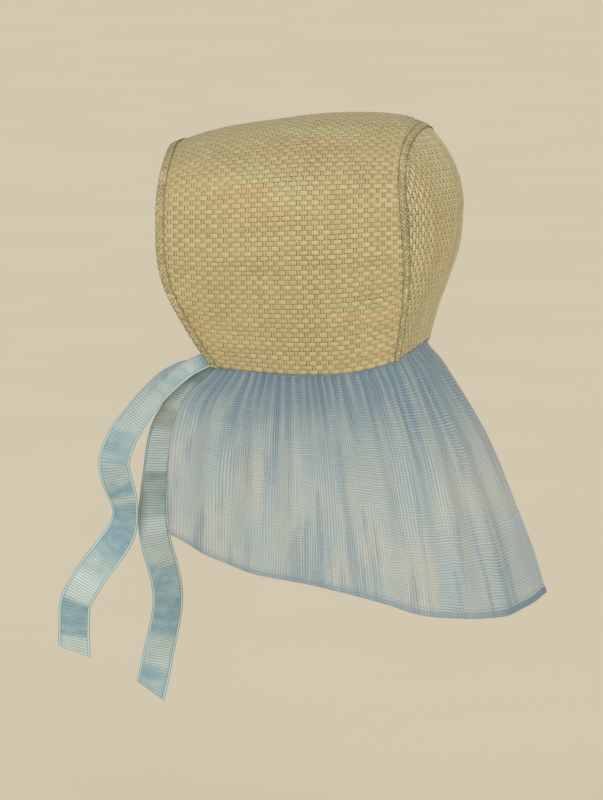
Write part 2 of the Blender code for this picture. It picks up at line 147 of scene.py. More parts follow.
# Sections of the cape for each gather, the drift of its soft folds and the share down that has
# the closest rows
GATHER_SAMPLES = 4.3
FOLD_DRIFT = 0.12
DRIFT_WAVES = 3
CLOSE_ROWS = 0.16
# Rows in that share and in the rest down to the hem
CLOSE_COUNT = 30
FALL_COUNT = 44
# How far the gathers stray and fall off down the cape, with the number of draws round it
GATHER_STRAY, STRAY_KNOTS = 0.35, 24
GATHER_LEAST, DEPTH_KNOTS = 0.55, 90
GATHER_REACH, REACH_KNOTS = (0.12, 0.34), 60
GATHER_SHARPNESS = 0.8
GATHER_START = 0.03
# Rows of the hem after its stitches, and the share of the cape's length over which it thickens
HEM_ROWS = 6
HEM_EDGE = 0.010
# Sections of a tie, the places of its points across it besides those of the selvedge's inner
# edge, the roundness of its lengthwise fold, and how soon its sides turn from it
TIE_SECTIONS = 600
TIE_PLACES = (0.7, 0.5, 0.3, 0.12)
SELVEDGE_PLACES = (1, 0.985, 0.93)
FOLD_ROUND = 0.04
FOLD_TURN = 8
# Points measured along an edge, half round the brim for its length and for equal steps, along
# the neck's sides and behind it, and over the back
EDGE_SAMPLES = 2001
HALF_SAMPLES = 400
ARC_SAMPLES = 161
NECK_SAMPLES = 80
REAR_SAMPLES = 60
BACK_SAMPLES = (161, 41)
# Starts of the random draws
BRIM_SEED, BACK_SEED, BINDING_SEED, SEAM_SEED, CAPE_SEED = 11, 23, 31, 37, 41

# Strength and colour of the sky, and each sun's turn from the camera, height, strength, softness
SKY_STRENGTH = 0.60
SKY_COLOUR = (0.96, 0.98, 1.0, 1.0)
SUNS = (
    ("key sun", -45, 46, 0.35, 50),
    ("fill sun", 35, 26, 0.35, 60),
    ("front sun", 0, 7, 1.75, 5),
)
FLOOR_RINGS = (0.0, 0.3, 0.6, 1.0, 2.0, 5.0, 12.0)
FLOOR_SPOKES = 64
PICTURE_HEIGHT = 800
SENSOR_WIDTH = 36.0
SUN_DISTANCE = 3

# Sections of the brim: share of its depth, drop of the ridge and of the neck edge below the crown
# as shares of its height, and half widths as shares of half of its width
BRIM_COLUMNS = ("depth", "ridge_drop", "neck_drop", "widest", "neck")
BRIM_SECTIONS = (
    (0.00, 0.134, 0.912, 1.000, 0.620),
    (0.12, 0.088, 0.950, 1.000, 0.650),
    (0.22, 0.061, 0.972, 1.005, 0.674),
    (0.40, 0.032, 0.986, 1.010, 0.735),
    (0.57, 0.008, 0.992, 1.010, 0.772),
    (0.75, 0.000, 0.981, 1.000, 0.770),
    (0.85, 0.004, 0.960, 0.990, 0.740),
    (0.92, 0.016, 0.938, 0.980, 0.705),
    (1.00, 0.058, 0.900, 0.967, 0.670),
)
# How far the front edge is cut back and the seam comes forward, down the section's height
EDGE_COLUMNS = ("down", "front_sweep", "seam_sweep")
EDGE_SWEEPS = (
    (0.00, 0.020, 0.020),
    (0.03, 0.033, 0.026),
    (0.07, 0.039, 0.034),
    (0.13, 0.041, 0.037),
    (0.22, 0.042, 0.033),
    (0.36, 0.044, 0.022),
    (0.50, 0.044, 0.013),
    (0.60, 0.053, 0.011),
    (0.70, 0.075, 0.015),
    (0.80, 0.115, 0.025),
    (0.91, 0.168, 0.044),
    (1.00, 0.222, 0.0625),
)
# Middle line of the back below its fullest point, as shares of the way down and of the bulge
BACK_COLUMNS = ("down", "behind")
BACK_LINE = ((0.00, 1.00), (0.31, 0.88), (0.56, 0.53), (0.77, 0.21), (1.00, -0.04))
# Hem of half of the cape: share of the way round, and out, back and drop as shares of its sizes
HEM_COLUMNS = ("girth", "out", "back", "drop")
HEM_LINE = (
    (0.000, 0.838, -0.010, 0.668),
    (0.075, 0.886, 0.079, 0.735),
    (0.206, 0.952, 0.238, 0.816),
    (0.331, 1.000, 0.383, 0.846),
    (0.522, 0.981, 0.605, 0.921),
    (0.604, 0.897, 0.697, 0.968),
    (0.690, 0.781, 0.788, 0.988),
    (0.833, 0.476, 0.911, 0.998),
    (1.000, 0.000, 1.000, 0.940),
)
# Fall of the cape: share of the drop, of the flare at the back and at the front, and of the folds
FALL_COLUMNS = ("drop", "back_flare", "front_flare", "folds")
CAPE_FALL = (
    (0.000, 0.000, 0.000, 0.00),
    (0.022, 0.010, 0.010, 0.15),
    (0.065, 0.090, 0.160, 0.45),
    (0.150, 0.215, 0.520, 0.80),
    (0.340, 0.470, 0.830, 0.95),
    (0.570, 0.695, 0.950, 1.00),
    (0.790, 0.870, 0.985, 1.00),
    (1.000, 1.000, 1.000, 1.00),
)
# Route of each tie: forward and drop as shares of its reach, sideways as a share of the sway,
# and its twist and fold in degrees
LEFT_TIE_ROUTE = (
    (0.106, 0.021, -0.36, 67, 77),
    (0.211, 0.045, -0.38, 48, 46),
    (0.340, 0.096, -0.23, 37, 22),
    (0.464, 0.160, -0.03, 32, 12),
    (0.570, 0.232, 0.37, 26, 6),
    (0.640, 0.290, 0.67, 14, 2),
    (0.698, 0.385, 0.77, 4, 0),
    (0.676, 0.444, 0.47, 4, 0),
    (0.644, 0.499, 0.17, 18, 0),
    (0.634, 0.546, 0.07, 24, 0),
    (0.658, 0.601, 0.17, 17, 0),
    (0.722, 0.652, 0.47, 7, 0),
    (0.831, 0.719, 0.77, 3, 0),
    (0.915, 0.782, 0.87, 0, 0),
    (0.973, 0.836, 0.77, 0, 0),
    (0.990, 0.898, 0.47, 0, 0),
    (0.996, 0.964, 0.27, 0, 0),
    (0.992, 1.000, 0.27, 0, 0),
)
RIGHT_TIE_ROUTE = (
    (0.149, 0.010, -0.36, 67, 77),
    (0.298, 0.053, -0.38, 46, 40),
    (0.448, 0.105, -0.23, 40, 24),
    (0.592, 0.147, -0.13, 36, 14),
    (0.712, 0.205, 0.07, 38, 6),
    (0.837, 0.262, 0.37, 42, 2),
    (0.899, 0.318, 0.57, 46, 0),
    (0.936, 0.387, 0.57, 47, 0),
    (0.954, 0.456, 0.37, 41, 0),
    (0.956, 0.524, 0.17, 26, 0),
    (0.919, 0.592, 0.07, 24, 0),
    (0.860, 0.656, 0.27, 22, 0),
    (0.823, 0.719, 0.57, 24, 0),
    (0.833, 0.776, 0.77, 26, 0),
    (0.873, 0.837, 0.67, 24, 0),
    (0.917, 0.900, 0.37, 20, 0),
    (0.952, 0.955, 0.17, 10, 0),
    (0.989, 1.000, 0.17, 0, 0),
)
# Light and dark zones along each tie, its blue dye under painted sheen and painted shade: share of
# its length from the seam, and depth of the dye
LEFT_TIE_DYE_AND_SHADING = (
    (0.000, 0.85), (0.080, 0.75), (0.130, 0.35), (0.200, 0.55), (0.280, 0.20), (0.360, 0.25),
    (0.420, 0.80), (0.460, 0.55), (0.510, 0.45), (0.545, 0.95), (0.565, 0.30), (0.600, 0.90),
    (0.690, 0.95), (0.745, 0.40), (0.800, 0.10), (0.855, 0.15), (0.875, 0.95), (0.950, 1.00),
    (0.965, 0.30), (1.000, 0.25),
)
# The right tie's values at and below zero paint its pale zones paler still, painted light where the
# tie lies in shade
RIGHT_TIE_DYE_AND_SHADING = (
    (0.000, 0.95), (0.215, 0.90), (0.240, 0.15), (0.300, 0.00), (0.320, 0.30), (0.355, 0.20),
    (0.375, -0.05), (0.465, -0.05), (0.475, 0.55), (0.500, 0.30), (0.560, 0.40), (0.580, 0.08),
    (0.610, 0.10), (0.625, 0.30), (0.680, 0.25), (0.700, 0.75), (0.850, 0.90), (0.880, 0.25),
    (0.930, 0.25), (0.945, 0.75), (1.000, 0.55),
)
# Each tie: its name, solid, route, reach, dye with painted sheen and shade, side and the length of
# ribbon that it was cut from
TIES = (
    ("left_ribbon", "tie_left", LEFT_TIE_ROUTE, LEFT_TIE_REACH, LEFT_TIE_DYE_AND_SHADING, 1.0, 0.345),
    ("right_ribbon", "tie_right", RIGHT_TIE_ROUTE, RIGHT_TIE_REACH, RIGHT_TIE_DYE_AND_SHADING, -1.0, 0.365),
)


def unit(vectors):
    """Vectors of length one along the last axis."""
    vectors = np.asarray(vectors, float)
    return vectors / np.maximum(np.linalg.norm(vectors, axis=-1, keepdims=True), 1e-12)


def lengths_along(points):
    """Distance from the first point to each one."""
    steps = np.linalg.norm(np.diff(points, axis=0), axis=-1)
    return np.concatenate([np.zeros((1, *steps.shape[1:])), np.cumsum(steps, axis=0)])


def smooth(values):
    values = np.clip(values, 0.0, 1.0)
    return values * values * (3 - 2 * values)


def curve_through(places, values, at):
    """Values on a curve through rows of values that stand at rising places."""
    slopes = np.gradient(values, places, axis=0)
    at = np.asarray(at, float)
    low = np.clip(np.searchsorted(places, at) - 1, 0, len(places) - 2)
    span = places[low + 1] - places[low]
    share = np.clip((at - places[low]) / span, 0.0, 1.0)
    if values.ndim > 1:
        span, share = span[:, None], share[:, None]
    rise = 3 * share ** 2 - 2 * share ** 3
    start_pull = (share - 2 * share ** 2 + share ** 3) * span * slopes[low]
    end_pull = (share ** 3 - share ** 2) * span * slopes[low + 1]
    return values[low] * (1 - rise) + values[low + 1] * rise + start_pull + end_pull


def read_table(table, columns, name, at):
    """Values of one named column at places in the first one."""
    rows = np.array(table, float)
    return curve_through(rows[:, 0], rows[:, columns.index(name)], at)


def down_share(girth):
    """Share of the section's height at girth: 0 on the ridge, 1 and -1 on the neck edge."""
    way = np.abs(girth)
    angle = math.pi / 2 * np.minimum(way / ARCH_SHARE, 1.0)
    arch = WIDEST_AT * (1 - np.clip(np.cos(angle), 0.0, 1.0) ** (2 / ARCH_POWER))
    cheek = WIDEST_AT + (1 - WIDEST_AT) * (way - ARCH_SHARE) / (1 - ARCH_SHARE)
    return np.where(way <= ARCH_SHARE, arch, cheek)


def brim_surface(girth, y):
    """Points on the outside of the brim."""
    girth, y = np.broadcast_arrays(np.asarray(girth, float), np.asarray(y, float))
    depth = (y - FRONT_TOP) / BRIM_DEPTH
    ridge, neck_level, widest, neck = (
        read_table(BRIM_SECTIONS, BRIM_COLUMNS, name, depth) for name in BRIM_COLUMNS[1:])
    down = down_share(girth)
    angle = math.pi / 2 * np.minimum(np.abs(girth) / ARCH_SHARE, 1.0)
    arch = widest * np.sin(angle) ** (2 / ARCH_POWER)
    cheek = widest - (widest - neck) * (np.maximum(down - WIDEST_AT, 0) / (1 - WIDEST_AT)) ** 2
    half = np.where(np.abs(girth) <= ARCH_SHARE, arch, cheek)
    x = np.sign(girth) * half * BRIM_WIDTH / 2
    z = STRAW_WALL - BRIM_HEIGHT * (ridge + (neck_level - ridge) * down)
    return np.stack([x, y, z], axis=-1)


def front_y(girth):
    sweep = read_table(EDGE_SWEEPS, EDGE_COLUMNS, "front_sweep", down_share(girth))
    return FRONT_TOP + BRIM_DEPTH * sweep


def seam_y(girth):
    sweep = read_table(EDGE_SWEEPS, EDGE_COLUMNS, "seam_sweep", down_share(girth))
    return CROWN_BEHIND - BRIM_DEPTH * sweep


def brim_normal(girth, y):
    """Outward directions square to the brim's cross-section."""
    low, high = np.maximum(girth - BRIM_STEP, -1.0), np.minimum(girth + BRIM_STEP, 1.0)
    along = brim_surface(high, y) - brim_surface(low, y)
    return unit(np.stack([-along[..., 2], np.zeros(along.shape[:-1]), along[..., 0]], axis=-1))


def back_surface(girth, inward):
    """Points on the outside of the back: inward is 0 at the seam and 1 on the middle line."""
    girth, inward = np.broadcast_arrays(np.asarray(girth, float), np.asarray(inward, float))
    seam = brim_surface(girth, seam_y(girth))
    fullest = brim_surface(ARCH_SHARE, seam_y(ARCH_SHARE))
    nape = brim_surface(1.0, seam_y(1.0))[2] + NAPE_RISE
    way = np.maximum(0.0, (np.abs(girth) - ARCH_SHARE) / (1 - ARCH_SHARE))
    behind = CROWN_BEHIND + BACK_BULGE * read_table(BACK_LINE, BACK_COLUMNS, "behind", way)
    level = fullest[2] + (nape - fullest[2]) * way
    outward = 1 - inward
    lift = np.where(way == 0.0, inward, 1 - outward ** 2)
    x = seam[..., 0] * outward
    y = seam[..., 1] + (behind - seam[..., 1]) * (1 - outward ** 2) ** DOME_POWER + SEAM_GAP
    z = seam[..., 2] + (level - seam[..., 2]) * lift
    return np.stack([x, y, z], axis=-1)


def back_normal(girth, inward):
    """Outward directions of the back."""
    inward = np.clip(inward, BACK_STEP, 1 - BACK_STEP)
    low, high = np.maximum(girth - BACK_STEP, -1.0), np.minimum(girth + BACK_STEP, 1.0)
    along = back_surface(high, inward) - back_surface(low, inward)
    across = back_surface(girth, inward + BACK_STEP) - back_surface(girth, inward - BACK_STEP)
    normal = unit(np.cross(along, across))
    point = back_surface(girth, inward)
    outward = point - np.array([0.0, 0.0, -BRIM_HEIGHT / 2])
    facing = np.sign(np.sum(normal * outward, axis=-1, keepdims=True))
    return normal * facing


class Bundle:
    """Strips gathered into one mesh, with a tone for each strand and a place on the weave."""

    def __init__(self):
        self.points, self.faces, self.tones, self.places = [], [], [], []
        self.count = 0

    def add(self, rings, tone, places):
        """A closed tube through rings of points: rings is sections by corners by 3."""
        sections, corners = rings.shape[:2]
        number = self.count + np.arange(sections * corners).reshape(sections, corners)
        here, following = number[:-1], number[1:]
        quads = np.stack([
            here, np.roll(here, -1, axis=1), np.roll(following, -1, axis=1), following,
        ], axis=-1).reshape(-1, 4)
        self.faces.append(quads)
        for ring in (number[0, ::-1], number[-1]):
            caps = [ring[[0, side, side + 1, side + 2]] for side in range(1, corners - 2, 2)]
            self.faces.append(np.array(caps))
        self.points.append(rings.reshape(-1, 3))
        self.tones.append(np.full(sections * corners, tone))
        self.places.append(np.repeat(places, corners, axis=0))
        self.count += sections * corners

    def build(self, name, material):
        points = np.concatenate(self.points)
        faces = np.concatenate(self.faces)
        item = mesh_object(name, points, faces, material)
        store(item, "strand", np.concatenate(self.tones))
        store(item, "place", np.concatenate(self.places))
        return item


def mesh_object(name, points, faces, material):
    mesh = bpy.data.meshes.new(name)
    mesh.from_pydata(points.tolist(), [], faces.tolist())
    mesh.shade_smooth()
    mesh.materials.append(material)
    item = bpy.data.objects.new(name, mesh)
    bpy.context.scene.collection.objects.link(item)
    return item


def store(item, name, values):
    """Keeps a number or a vector for each vertex, for the material to read."""
    values = np.asarray(values, np.float32)
    if values.ndim == 1:
        layer = item.data.attributes.new(name, "FLOAT", "POINT")
        layer.data.foreach_set("value", values)
    else:
        layer = item.data.attributes.new(name, "FLOAT_VECTOR", "POINT")
        layer.data.foreach_set("vector", values.ravel())


def strip_rings(centres, normals, lifts, width, thick, shoulder=0.0):
    """Sections of a flat strip that rises and dips along the surface's normals. A strip with
    shoulders is flat between them, and one without is lens-shaped."""
    along = unit(np.gradient(centres, axis=0))
    side = unit(np.cross(along, normals))
    middle = centres + normals * np.asarray(lifts)[:, None]
    width = np.broadcast_to(width, len(centres))[:, None]
    half = side * width / 2
    crown = normals * thick / 2
    if shoulder == 0.0:
        return np.stack([middle + half, middle + crown, middle - half, middle - crown], axis=1)
    near = half * shoulder
    return np.stack([
        middle + half, middle + near + crown, middle - near + crown,
        middle - half, middle - near - crown, middle + near - crown,
    ], axis=1)


def over_under(phase, height, sharpness=0.6):
    """Rise and dip of a strip that goes over and under at each half turn of phase."""
    wave = np.cos(phase)
    return height * np.sign(wave) * np.abs(wave) ** sharpness


def finish_piece(item, slot, *nodes):
    """Every piece rides on the bonnet's one body; some stand in for solids."""
    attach(item, "root")
    if nodes:
        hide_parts(*nodes)


def arc_girths(shares, y):
    """Girths at equal shares of the way round the brim's half section, at each place y."""
    trial = np.linspace(0.0, 1.0, ARC_SAMPLES)
    ways = lengths_along(brim_surface(trial[:, None], np.asarray(y)[None, :]))
    return np.array([np.interp(share * way[-1], way, trial) for share, way in zip(shares, ways.T)])


def weave_brim(sizes, materials):
    """Straws along the brim from front to back, crossed by straws round it."""
    draw = np.random.default_rng(BRIM_SEED)
    girths = np.linspace(0.0, 1.0, HALF_SAMPLES)
    half_length = float(lengths_along(brim_surface(girths, np.zeros(HALF_SAMPLES)))[-1])
    rows = round(half_length / sizes.row_pitch)
    pitch = half_length / rows
    left_straws, right_straws, round_straws = Bundle(), Bundle(), Bundle()

    def on_brim(girth, y, phase):
        normals = brim_normal(girth, y)
        centres = brim_surface(girth, y) - normals * (sizes.weave_height + sizes.straw_thick / 2)
        return centres, normals, over_under(phase, sizes.weave_height)

    samples = int(BRIM_DEPTH / sizes.dash_pitch * STRAW_SAMPLES)
    for row in range(-rows, rows):
        y = np.linspace(FRONT_TOP, CROWN_BEHIND, samples)
        girth = arc_girths(np.full(len(y), abs(row + 0.5) / rows), y) * (1 if row >= 0 else -1)
        inside = within_edges(girth, y)
        y, girth = y[inside], girth[inside]
        if len(y) < FEWEST_SECTIONS:
            continue
        knots = np.linspace(y[0], y[-1], ROW_KNOTS)
        wander = np.interp(y, knots, draw.normal(0, ROW_WANDER, ROW_KNOTS))
        arc = np.full(len(y), (row + 0.5) * pitch)
        places = np.column_stack([arc, y, np.full(len(y), draw.uniform(0, 9))])
        rings = strip_rings(*on_brim(girth, y, math.pi * (y / sizes.dash_pitch + row)),
                            pitch * (sizes.row_cover + wander), sizes.straw_thick, STRAW_SHOULDER)
        (left_straws if row >= 0 else right_straws).add(rings, draw.uniform(0, 1), places)
    first = math.ceil(FRONT_TOP / sizes.dash_pitch)
    last = math.floor(CROWN_BEHIND / sizes.dash_pitch)
    for column in range(first, last + 1):
        counted = np.arange(-rows * STRAW_SAMPLES, rows * STRAW_SAMPLES + 1) / STRAW_SAMPLES
        y = np.full(len(counted), column * sizes.dash_pitch + draw.normal(0, CROSS_STRAY))
        girth = arc_girths(np.abs(counted) / rows, y) * np.sign(counted)
        for part in runs_of(within_edges(girth, y)):
            crossed = counted[part]
            places = np.column_stack([crossed * pitch, y[part], np.full(len(crossed), 5.0)])
            width = sizes.cross_width * draw.uniform(*CROSS_WANDER)
            phase = math.pi * (crossed + column + 0.5)
            rings = strip_rings(*on_brim(girth[part], y[part], phase), width, sizes.straw_thick)
            round_straws.add(rings, draw.uniform(0, 1), places)
    finish_piece(left_straws.build("brim_left_straws", materials["straw"]), "straw", "brim")
    finish_piece(right_straws.build("brim_right_straws", materials["straw"]), "straw")
    finish_piece(round_straws.build("brim_round_straws", materials["cross straw"]), "straw")


def within_edges(girth, y):
    return (y > front_y(girth) + GAP) & (y < seam_y(girth) - GAP)


def runs_of(flags):
    """The stretches where flags hold that are long enough for a strip."""
    edges = np.flatnonzero(np.diff(np.concatenate([[0], flags.astype(int), [0]])))
    pairs = zip(edges[::2], edges[1::2])
    return [slice(start, end) for start, end in pairs if end - start >= FEWEST_SECTIONS]


def back_tree():
    """The back's outer surface, for finding the place behind any point of the panel."""
    girths, places = np.linspace(-1, 1, BACK_SAMPLES[0]), np.linspace(0, 1, BACK_SAMPLES[1])
    grid = back_surface(girths[:, None], places[None, :]).reshape(-1, 3)
    number = np.arange(len(grid)).reshape(BACK_SAMPLES)
    quads = np.stack([number[:-1, :-1], number[1:, :-1], number[1:, 1:], number[:-1, 1:]], axis=-1)
    return BVHTree.FromPolygons(grid.tolist(), quads.reshape(-1, 4).tolist())


def on_back(tree, x, z):
    """Points, normals and hits of the panel at places across and up it."""
    points, normals, hits = np.zeros((len(x), 3)), np.zeros((len(x), 3)), np.zeros(len(x), bool)
    for index, (across, up) in enumerate(zip(x, z)):
        behind = Vector((across, LOOK_FROM, up))
        found, normal, _, _ = tree.ray_cast(behind, Vector((0, -1, 0)))
        if found is not None:
            hits[index] = True
            points[index] = found
            normals[index] = normal if normal.y > 0 else -normal
    return points, normals, hits


def weave_back(sizes, materials):
    """Straws down the back, crossed by straws from side to side."""
    draw = np.random.default_rng(BACK_SEED)
    tree = back_tree()
    down_straws, across_straws = Bundle(), Bundle()
    half, pitch = BRIM_WIDTH / 2, sizes.back_pitch
    columns = round(half / pitch)
    for column in range(-columns, columns + 1):
        z = np.arange(-BRIM_HEIGHT, 0.0, sizes.dash_pitch / STRAW_SAMPLES)
        x = np.full(len(z), column * pitch)
        lay_on_back(tree, x, z, math.pi * (z / sizes.dash_pitch + column), down_straws, sizes, draw,
                    pitch * sizes.row_cover, STRAW_SHOULDER)
    for row in range(-round(BRIM_HEIGHT / sizes.dash_pitch), 0):
        x = np.arange(-half, half, pitch / STRAW_SAMPLES)
        z = np.full(len(x), row * sizes.dash_pitch)
        lay_on_back(tree, x, z, math.pi * (x / pitch + row + 1), across_straws, sizes, draw,
                    sizes.cross_width * draw.uniform(*CROSS_WANDER))
    down = down_straws.build("back_down_straws", materials["back straw"])
    finish_piece(down, "straw", "crown_back")
    finish_piece(across_straws.build("back_across_straws", materials["cross straw"]), "straw")


def lay_on_back(tree, x, z, phase, bundle, sizes, draw, width, shoulder=0.0):
    """One straw over the back's surface, in as many stretches as the surface has under it."""
    points, normals, hits = on_back(tree, x, z)
    tone, shift = draw.uniform(0, 1), draw.uniform(0, 9)
    for part in runs_of(hits):
        centres = points[part] - normals[part] * (sizes.weave_height + sizes.straw_thick / 2)
        lifts = over_under(phase[part], sizes.weave_height)
        places = np.column_stack([x[part], z[part], np.full(len(centres), shift)])
        rings = strip_rings(centres, normals[part], lifts, width, sizes.straw_thick, shoulder)
        bundle.add(rings, tone, places)


def braid(surface, length, width, strands, samples, seed, sizes):
    """Flat plait: strands cross the band from edge to edge and turn back at its edges.
    surface gives points and normals at shares of the way along and across, across from -1 to 1."""
    bundle, draw = Bundle(), np.random.default_rng(seed)
    turns = max(2, round(length / (2 * width)))
    strand_width = 2 * width / strands * STRAND_COVER
    count = turns * 2 * strands * samples + 1
    way = np.linspace(0.0, 1.0, count)
    for strand in range(strands):
        turn = way * turns + strand / strands
        saw = 2 * np.abs(2 * (turn % 1.0) - 1) - 1
        across = saw * (1 - strand_width / width / 2)
        lift = over_under(math.pi * (turn * strands + strand), sizes.plait_height,
                          STRAND_SHARPNESS)
        lift = lift * np.where(np.abs(saw) > TURN_AT, TURN_RISE, 1.0)
        points, normals = surface(way, across)
        places = np.column_stack([way * length, across * width / 2, np.full(count, strand * 0.7)])
        rings = strip_rings(points, normals, lift, strand_width, sizes.plait_thick)
        bundle.add(rings, draw.uniform(0, 1), places)
    return bundle


def sew_threads(name, surface, length, across, sections, sizes, materials):
    """A stitched thread along each side of a plait."""
    thread = Bundle()
    way = np.linspace(0.0, 1.0, sections)
    wave = np.sin(way * length / sizes.stitch_pitch * 2 * math.pi) * sizes.thread_thick / 3
    places = np.column_stack([way * length, way * 0, way * 0])
    for side in (-across, across):
        centres, normals = surface(way, np.full(sections, side))
        rings = cord_rings(centres + normals * wave[:, None], sizes.thread_thick / 2)
        thread.add(rings, 0.5, places)
    finish_piece(thread.build(name, materials["thread"]), "braid")


def cord_rings(centres, radius, corners=6):
    """Round sections of a fine thread."""
    along = unit(np.gradient(centres, axis=0))
    first = unit(np.cross(along, np.array([0.3, 0.8, 0.52])))
    second = np.cross(along, first)
    angles = np.arange(corners) * 2 * math.pi / corners
    cosines, sines = np.cos(angles)[None, :, None], np.sin(angles)[None, :, None]
    return centres[:, None] + (first[:, None] * cosines + second[:, None] * sines) * radius


def edge_line(edge_y):
    """Girths along one of the brim's edges, the share of its length up to each, and its length."""
    girths = np.linspace(-1.0, 1.0, EDGE_SAMPLES)
    ways = lengths_along(brim_surface(girths, edge_y(girths)))
    return girths, ways / ways[-1], float(ways[-1])


def plait_binding(sizes, materials):
    """Plait folded over the front edge, with a stitched thread along each of its edges."""
    girths, shares, length = edge_line(front_y)
    wrap = STRAW_WALL + 2 * (GAP + BINDING_THICK / 2)
    total = 2 * BINDING_WIDTH + wrap

    def surface(way, across):
        girth = np.interp(way, shares, girths)
        front = front_y(girth)
        edge = brim_surface(girth, front)
        behind = brim_surface(girth, front + BINDING_WIDTH)
        ahead = unit(edge - behind)
        out = brim_normal(girth, front)
        place = across * total / 2
        flat = np.maximum(np.abs(place) - wrap / 2, 0.0)
        angle = math.pi / 2 * np.clip(place / (wrap / 2), -1, 1)
        middle = edge - out * STRAW_WALL / 2 + ahead * GAP
        turn = out * np.sin(angle)[:, None] + ahead * np.cos(angle)[:, None]
        return middle + turn * (wrap / 2) - ahead * flat[:, None], turn

    plait = braid(surface, length, total, BINDING_STRANDS, BINDING_SAMPLES, BINDING_SEED, sizes)
    finish_piece(plait.build("front_plait", materials["braid"]), "braid", "front_binding")
    sew_threads("front_plait_thread", surface, length, BINDING_THREADS, BINDING_THREAD_SECTIONS,
                sizes, materials)


def plait_seam(sizes, materials):
    """Narrow plait over the seam between brim and back, with a thread along each edge."""
    girths, shares, length = edge_line(seam_y)
    lift = GAP + sizes.plait_thick / 2

    def surface(way, across):
        girth = np.interp(way, shares, girths)
        seam = seam_y(girth)
        corner = brim_surface(girth, seam)
        ahead = brim_surface(girth, seam - SEAM_BAND_WIDTH / 2) - corner
        radius = np.maximum(np.hypot(corner[:, 0], corner[:, 2] + SEAM_CENTRE), SEAM_RADIUS)
        reach = SEAM_BAND_WIDTH / 2 / radius
        behind = back_surface(girth, reach) - corner
        out_ahead, out_behind = brim_normal(girth, seam), back_normal(girth, reach / 2)
        soft = smooth((across + 1) / 2)[:, None]
        out = unit(out_ahead * (1 - soft) + out_behind * soft)
        shift = np.where(across[:, None] < 0, -across[:, None] * ahead, across[:, None] * behind)
        crown = SEAM_CROWN * (1 - np.abs(across[:, None]))
        return corner + shift + out * (lift + crown), out

    plait = braid(surface, length, SEAM_BAND_WIDTH, SEAM_STRANDS, SEAM_SAMPLES, SEAM_SEED, sizes)
    finish_piece(plait.build("seam_plait", materials["braid"]), "braid", "seam_band")
    sew_threads("seam_plait_thread", surface, length, SEAM_THREADS, SEAM_THREAD_SECTIONS,
                sizes, materials)


def neck_line(girth, depth, count):
    """Evenly spaced points inside the straw at one girth, from the front edge, where they pass
    over the folded binding, to the back's middle."""
    front = front_y(girth)
    y = np.linspace(front, seam_y(girth) - SEAM_BAND_WIDTH / 2, NECK_SAMPLES)
    over = BINDING_THICK * (1 - smooth((y - front - BINDING_WIDTH * 0.6) / BINDING_WIDTH))
    girths = np.full(NECK_SAMPLES, girth)
    side = brim_surface(girth, y) - brim_normal(girths, y) * (depth + over)[:, None]
    inward = np.linspace(0.04, 1.0, REAR_SAMPLES)
    rear = back_surface(girth, inward) - back_normal(girths[:REAR_SAMPLES], inward) * depth
    line = np.concatenate([side, rear])
    line[-1, 0] = 0.0
    ways = lengths_along(line)
    wanted = np.linspace(CORNER_GAP, ways[-1], count)
    return np.column_stack([np.interp(wanted, ways, line[:, axis]) for axis in range(3)])


